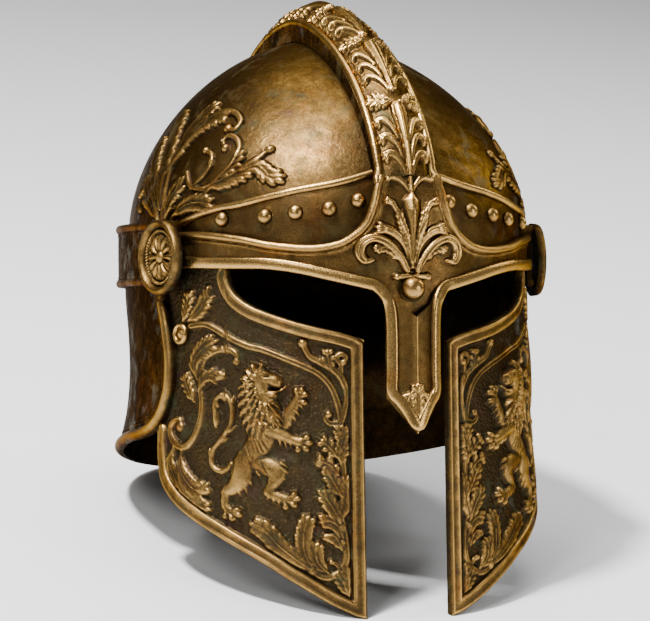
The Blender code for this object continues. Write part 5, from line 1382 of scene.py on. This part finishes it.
def bronze(name, dark, middle, bright, polish, gloss, grain, stipple):
    """Old bronze: dark in the hollows with patina and painted shade, rubbed on the highs, mottled with
    copper and green, finely pitted.

    polish is how much of the metal is rubbed, gloss the roughness of its rubbed parts, grain and stipple how
    deep its pits and the punched ground are, in metres.
    """
    look = bpy.data.materials.new(name)
    look.use_nodes = True
    tree = look.node_tree
    shader = tree.nodes["Principled BSDF"]
    tone = node(tree, "ShaderNodeAttribute", attribute_name="tone").outputs["Fac"]
    clouds, patches = noise(tree, *CLOUDS), noise(tree, *PATCHES)
    speckle, pits = noise(tree, *SPECKLE), noise(tree, *PITS)
    # How rubbed each place is, from the tone attribute with its painted shade in the hollows, mottled by
    # noise
    wear_and_shade = tone
    for cloud, weight in ((patches, 1.1), (clouds, 0.8), (speckle, 1.3)):
        wear_and_shade = maths(tree, "ADD", wear_and_shade, maths(tree, "MULTIPLY", maths(tree, "SUBTRACT", cloud, 0.5), weight))
    wear_and_shade = maths(tree, "ADD", wear_and_shade, polish - 0.5)
    colour = blend(tree, ramp(tree, wear_and_shade, 0.08, 0.52), dark, middle)
    colour = blend(tree, ramp(tree, wear_and_shade, 0.50, 0.98), colour, bright)
    copper = maths(tree, "MULTIPLY", ramp(tree, noise(tree, *COPPER_CLOUDS), 0.54, 0.70), 0.36)
    colour = blend(tree, copper, colour, COPPER, "OVERLAY")
    green = maths(tree, "MULTIPLY", ramp(tree, noise(tree, *GREEN_CLOUDS), 0.53, 0.66), 0.5)
    green = maths(tree, "MULTIPLY", green, ramp(tree, wear_and_shade, 1.0, 0.35))
    colour = blend(tree, green, colour, VERDIGRIS)
    purple = maths(tree, "MULTIPLY", ramp(tree, noise(tree, *PURPLE_CLOUDS), 0.56, 0.68), 0.38)
    colour = blend(tree, maths(tree, "MULTIPLY", purple, ramp(tree, wear_and_shade, 1.0, 0.3)), colour, PURPLE)
    spots = maths(tree, "MULTIPLY", ramp(tree, speckle, 0.60, 0.70), 0.7)
    colour = blend(tree, spots, colour, TARNISH)
    tree.links.new(colour, shader.inputs["Base Color"])
    rough = maths(tree, "ADD", maths(tree, "MULTIPLY", ramp(tree, wear_and_shade, 0.9, 0.1), 0.20), gloss)
    rough = maths(tree, "ADD", rough, maths(tree, "MULTIPLY", speckle, 0.14))
    tree.links.new(rough, shader.inputs["Roughness"])
    tree.links.new(maths(tree, "SUBTRACT", 1.0, maths(tree, "MULTIPLY", green, 0.8)),
                   shader.inputs["Metallic"])
    # The edge-on tint is painted shade that darkens the edges
    shader.inputs["Specular Tint"].default_value = (*EDGE_PAINTED_SHADE, 1.0)
    ground = ramp(tree, tone, 0.35, 0.05)
    place = node(tree, "ShaderNodeTexCoord").outputs["Object"]
    punch = node(tree, "ShaderNodeTexVoronoi", {"Vector": place, "Scale": PUNCH_SCALE}).outputs["Distance"]
    pitted = node(tree, "ShaderNodeBump", {"Height": pits, "Strength": 0.7, "Distance": grain})
    waves = node(tree, "ShaderNodeBump", {"Height": patches, "Strength": 0.7, "Distance": grain * 4,
                                          "Normal": pitted.outputs["Normal"]})
    height = maths(tree, "MULTIPLY", punch, ground)
    punched = node(tree, "ShaderNodeBump", {"Height": height, "Strength": 1.0, "Distance": stipple,
                                            "Normal": waves.outputs["Normal"]})
    tree.links.new(punched.outputs["Normal"], shader.inputs["Normal"])
    return look


MATERIALS = {
    "dome": bronze("bronze_dome", (0.036, 0.021, 0.008), (0.125, 0.070, 0.021), (0.30, 0.178, 0.054),
                   polish=0.50, gloss=0.17, grain=0.00014, stipple=0.0),
    "band": bronze("bronze_band", (0.036, 0.020, 0.007), (0.145, 0.080, 0.023), (0.38, 0.222, 0.066),
                   polish=0.52, gloss=0.22, grain=0.00014, stipple=0.0),
    "cheek": bronze("bronze_relief", (0.046, 0.032, 0.016), (0.155, 0.088, 0.026), (0.46, 0.272, 0.080),
                    polish=0.46, gloss=0.25, grain=0.00012, stipple=0.00040),
    "spray": bronze("bronze_spray", (0.020, 0.012, 0.005), (0.115, 0.065, 0.019), (0.38, 0.222, 0.066),
                    polish=0.44, gloss=0.26, grain=0.00012, stipple=0.0),
    "bright": bronze("bronze_rubbed", (0.032, 0.018, 0.007), (0.21, 0.118, 0.034), (0.54, 0.322, 0.098),
                     polish=0.54, gloss=0.20, grain=0.00009, stipple=0.0),
}


# (name, azimuth from the front in degrees, elevation, distance, size, watts)
LIGHTS = [
    ("left", -50.0, 40.0, 1.9, (0.30, 0.6), 11.0),
    ("top", 165.0, 68.0, 2.4, (1.8, 1.4), 42.0),
    ("fill", 34.0, 14.0, 2.2, (0.4, 0.9), 12.0),
    ("left_rim", -118.0, 14.0, 1.8, (0.20, 0.8), 1.2),
    ("right_rim", 100.0, 28.0, 1.8, (0.30, 1.0), 9.0),
]
HIGHLIGHT = (298.0, 150.0)    # the pixel where the photograph's soft light shows on the dome
SHINE_SIZE, SHINE_DISTANCE, SHINE_POWER = 0.20, 1.5, 58.0
WORLD_LIGHT = 0.15
FLOOR_HALF = 14.0
FLOOR_SHADES, FLOOR_ROUGHNESS = ((0.90, 0.90, 0.90), (0.93, 0.93, 0.93)), 0.9
LIGHTS_MIDDLE = Vector((0.0, -0.01, 0.14))   # where the lights point


def area_light(name, place, aim, power, shape, size):
    """A soft light at a place, turned to what it aims at; size is (across, up) in metres."""
    lamp = bpy.data.lights.new(name, "AREA")
    lamp.shape, lamp.size, lamp.size_y = shape, size[0], size[1]
    lamp.energy = power
    holder = bpy.data.objects.new(name, lamp)
    holder.location = place
    holder.rotation_euler = (aim - holder.location).to_track_quat("-Z", "Y").to_euler()
    bpy.context.scene.collection.objects.link(holder)


def studio():
    """A pale floor, soft lights and the photograph's camera."""
    scene = bpy.context.scene
    look = bpy.data.materials.new("floor")
    look.use_nodes = True
    tree = look.node_tree
    shader = tree.nodes["Principled BSDF"]
    shade = blend(tree, noise(tree, 2.0), *FLOOR_SHADES)
    tree.links.new(shade, shader.inputs["Base Color"])
    shader.inputs["Roughness"].default_value = FLOOR_ROUGHNESS
    mesh = bpy.data.meshes.new("floor")
    half = FLOOR_HALF
    mesh.from_pydata([(-half, -half, 0), (half, -half, 0), (half, half, 0), (-half, half, 0)], [],
                     [(0, 1, 2, 3)])
    floor = bpy.data.objects.new("floor", mesh)
    scene.collection.objects.link(floor)
    mesh.materials.append(look)

    world = bpy.data.worlds.new("studio")
    scene.world = world
    world.use_nodes = True
    sky = world.node_tree.nodes["Background"]
    sky.inputs["Color"].default_value = (1.0, 1.0, 1.0, 1.0)
    sky.inputs["Strength"].default_value = WORLD_LIGHT

    look_at, right, eye = view_axes()
    shine, out = (rows[0] for rows in wall(*seen([HIGHLIGHT], 0.0)))
    ray = unit(shine - eye)
    mirrored = TURN @ (ray - 2 * (ray @ out) * out)
    spot = Vector((TURN @ shine + SHIFT).tolist())
    place = spot + Vector(mirrored.tolist()) * SHINE_DISTANCE
    area_light("shine", place, spot, SHINE_POWER, "DISK", (SHINE_SIZE, SHINE_SIZE))
    for name, azimuth, elevation, distance, size, power in LIGHTS:
        a, e = radians(azimuth), radians(elevation)
        place = LIGHTS_MIDDLE + Vector((sin(a) * cos(e), -cos(a) * cos(e), sin(e))) * distance
        area_light(name, place, LIGHTS_MIDDLE, power, "RECTANGLE", size)

    camera = bpy.data.objects.new("photo", bpy.data.cameras.new("photo"))
    camera.data.sensor_width = SENSOR_WIDTH
    camera.data.lens = SENSOR_WIDTH * VIEW_DISTANCE / VIEW_SCALE / IMAGE_WIDTH
    camera.data.clip_end = 4 * FLOOR_HALF
    up = np.cross(right, look_at)
    axes = np.stack([right, up, -look_at]) @ TURN.T
    place = Matrix(axes.T.tolist()).to_4x4()
    place.translation = Vector((eye @ TURN.T + SHIFT).tolist())
    camera.matrix_world = place
    scene.collection.objects.link(camera)
    scene.camera = camera


skull_cap()
brow_band()
nose_guard()
eye_rim()
comb()
neck_guard()
neck_rim()
rear_band()
brow_boss()
face_relief("fleur_de_lis_relief", "fleur_de_lis", brow_point,
            np.linspace(-LILY_HALF, LILY_HALF, LILY_COLUMNS),
            np.linspace(*LILY_HEIGHTS, LILY_ROWS), lily, LILY_TONE_SCALE)
face_relief("nose_sprig", "nose_leaf", nose_point, np.linspace(-SPRIG_HALF, SPRIG_HALF, SPRIG_COLUMNS),
            np.linspace(*SPRIG_HEIGHTS, SPRIG_ROWS), nose_sprig, SPRIG_TONE_SCALE)
for side, label in ((1, "left"), (-1, "right")):
    cheek(side, label)
    cap_spray(side, label)
    cap_moulding(side, label)
    comb_edge(side, label)
    roundel(side, label)
    rivets(side, label)
    stud(side, label)
studio()
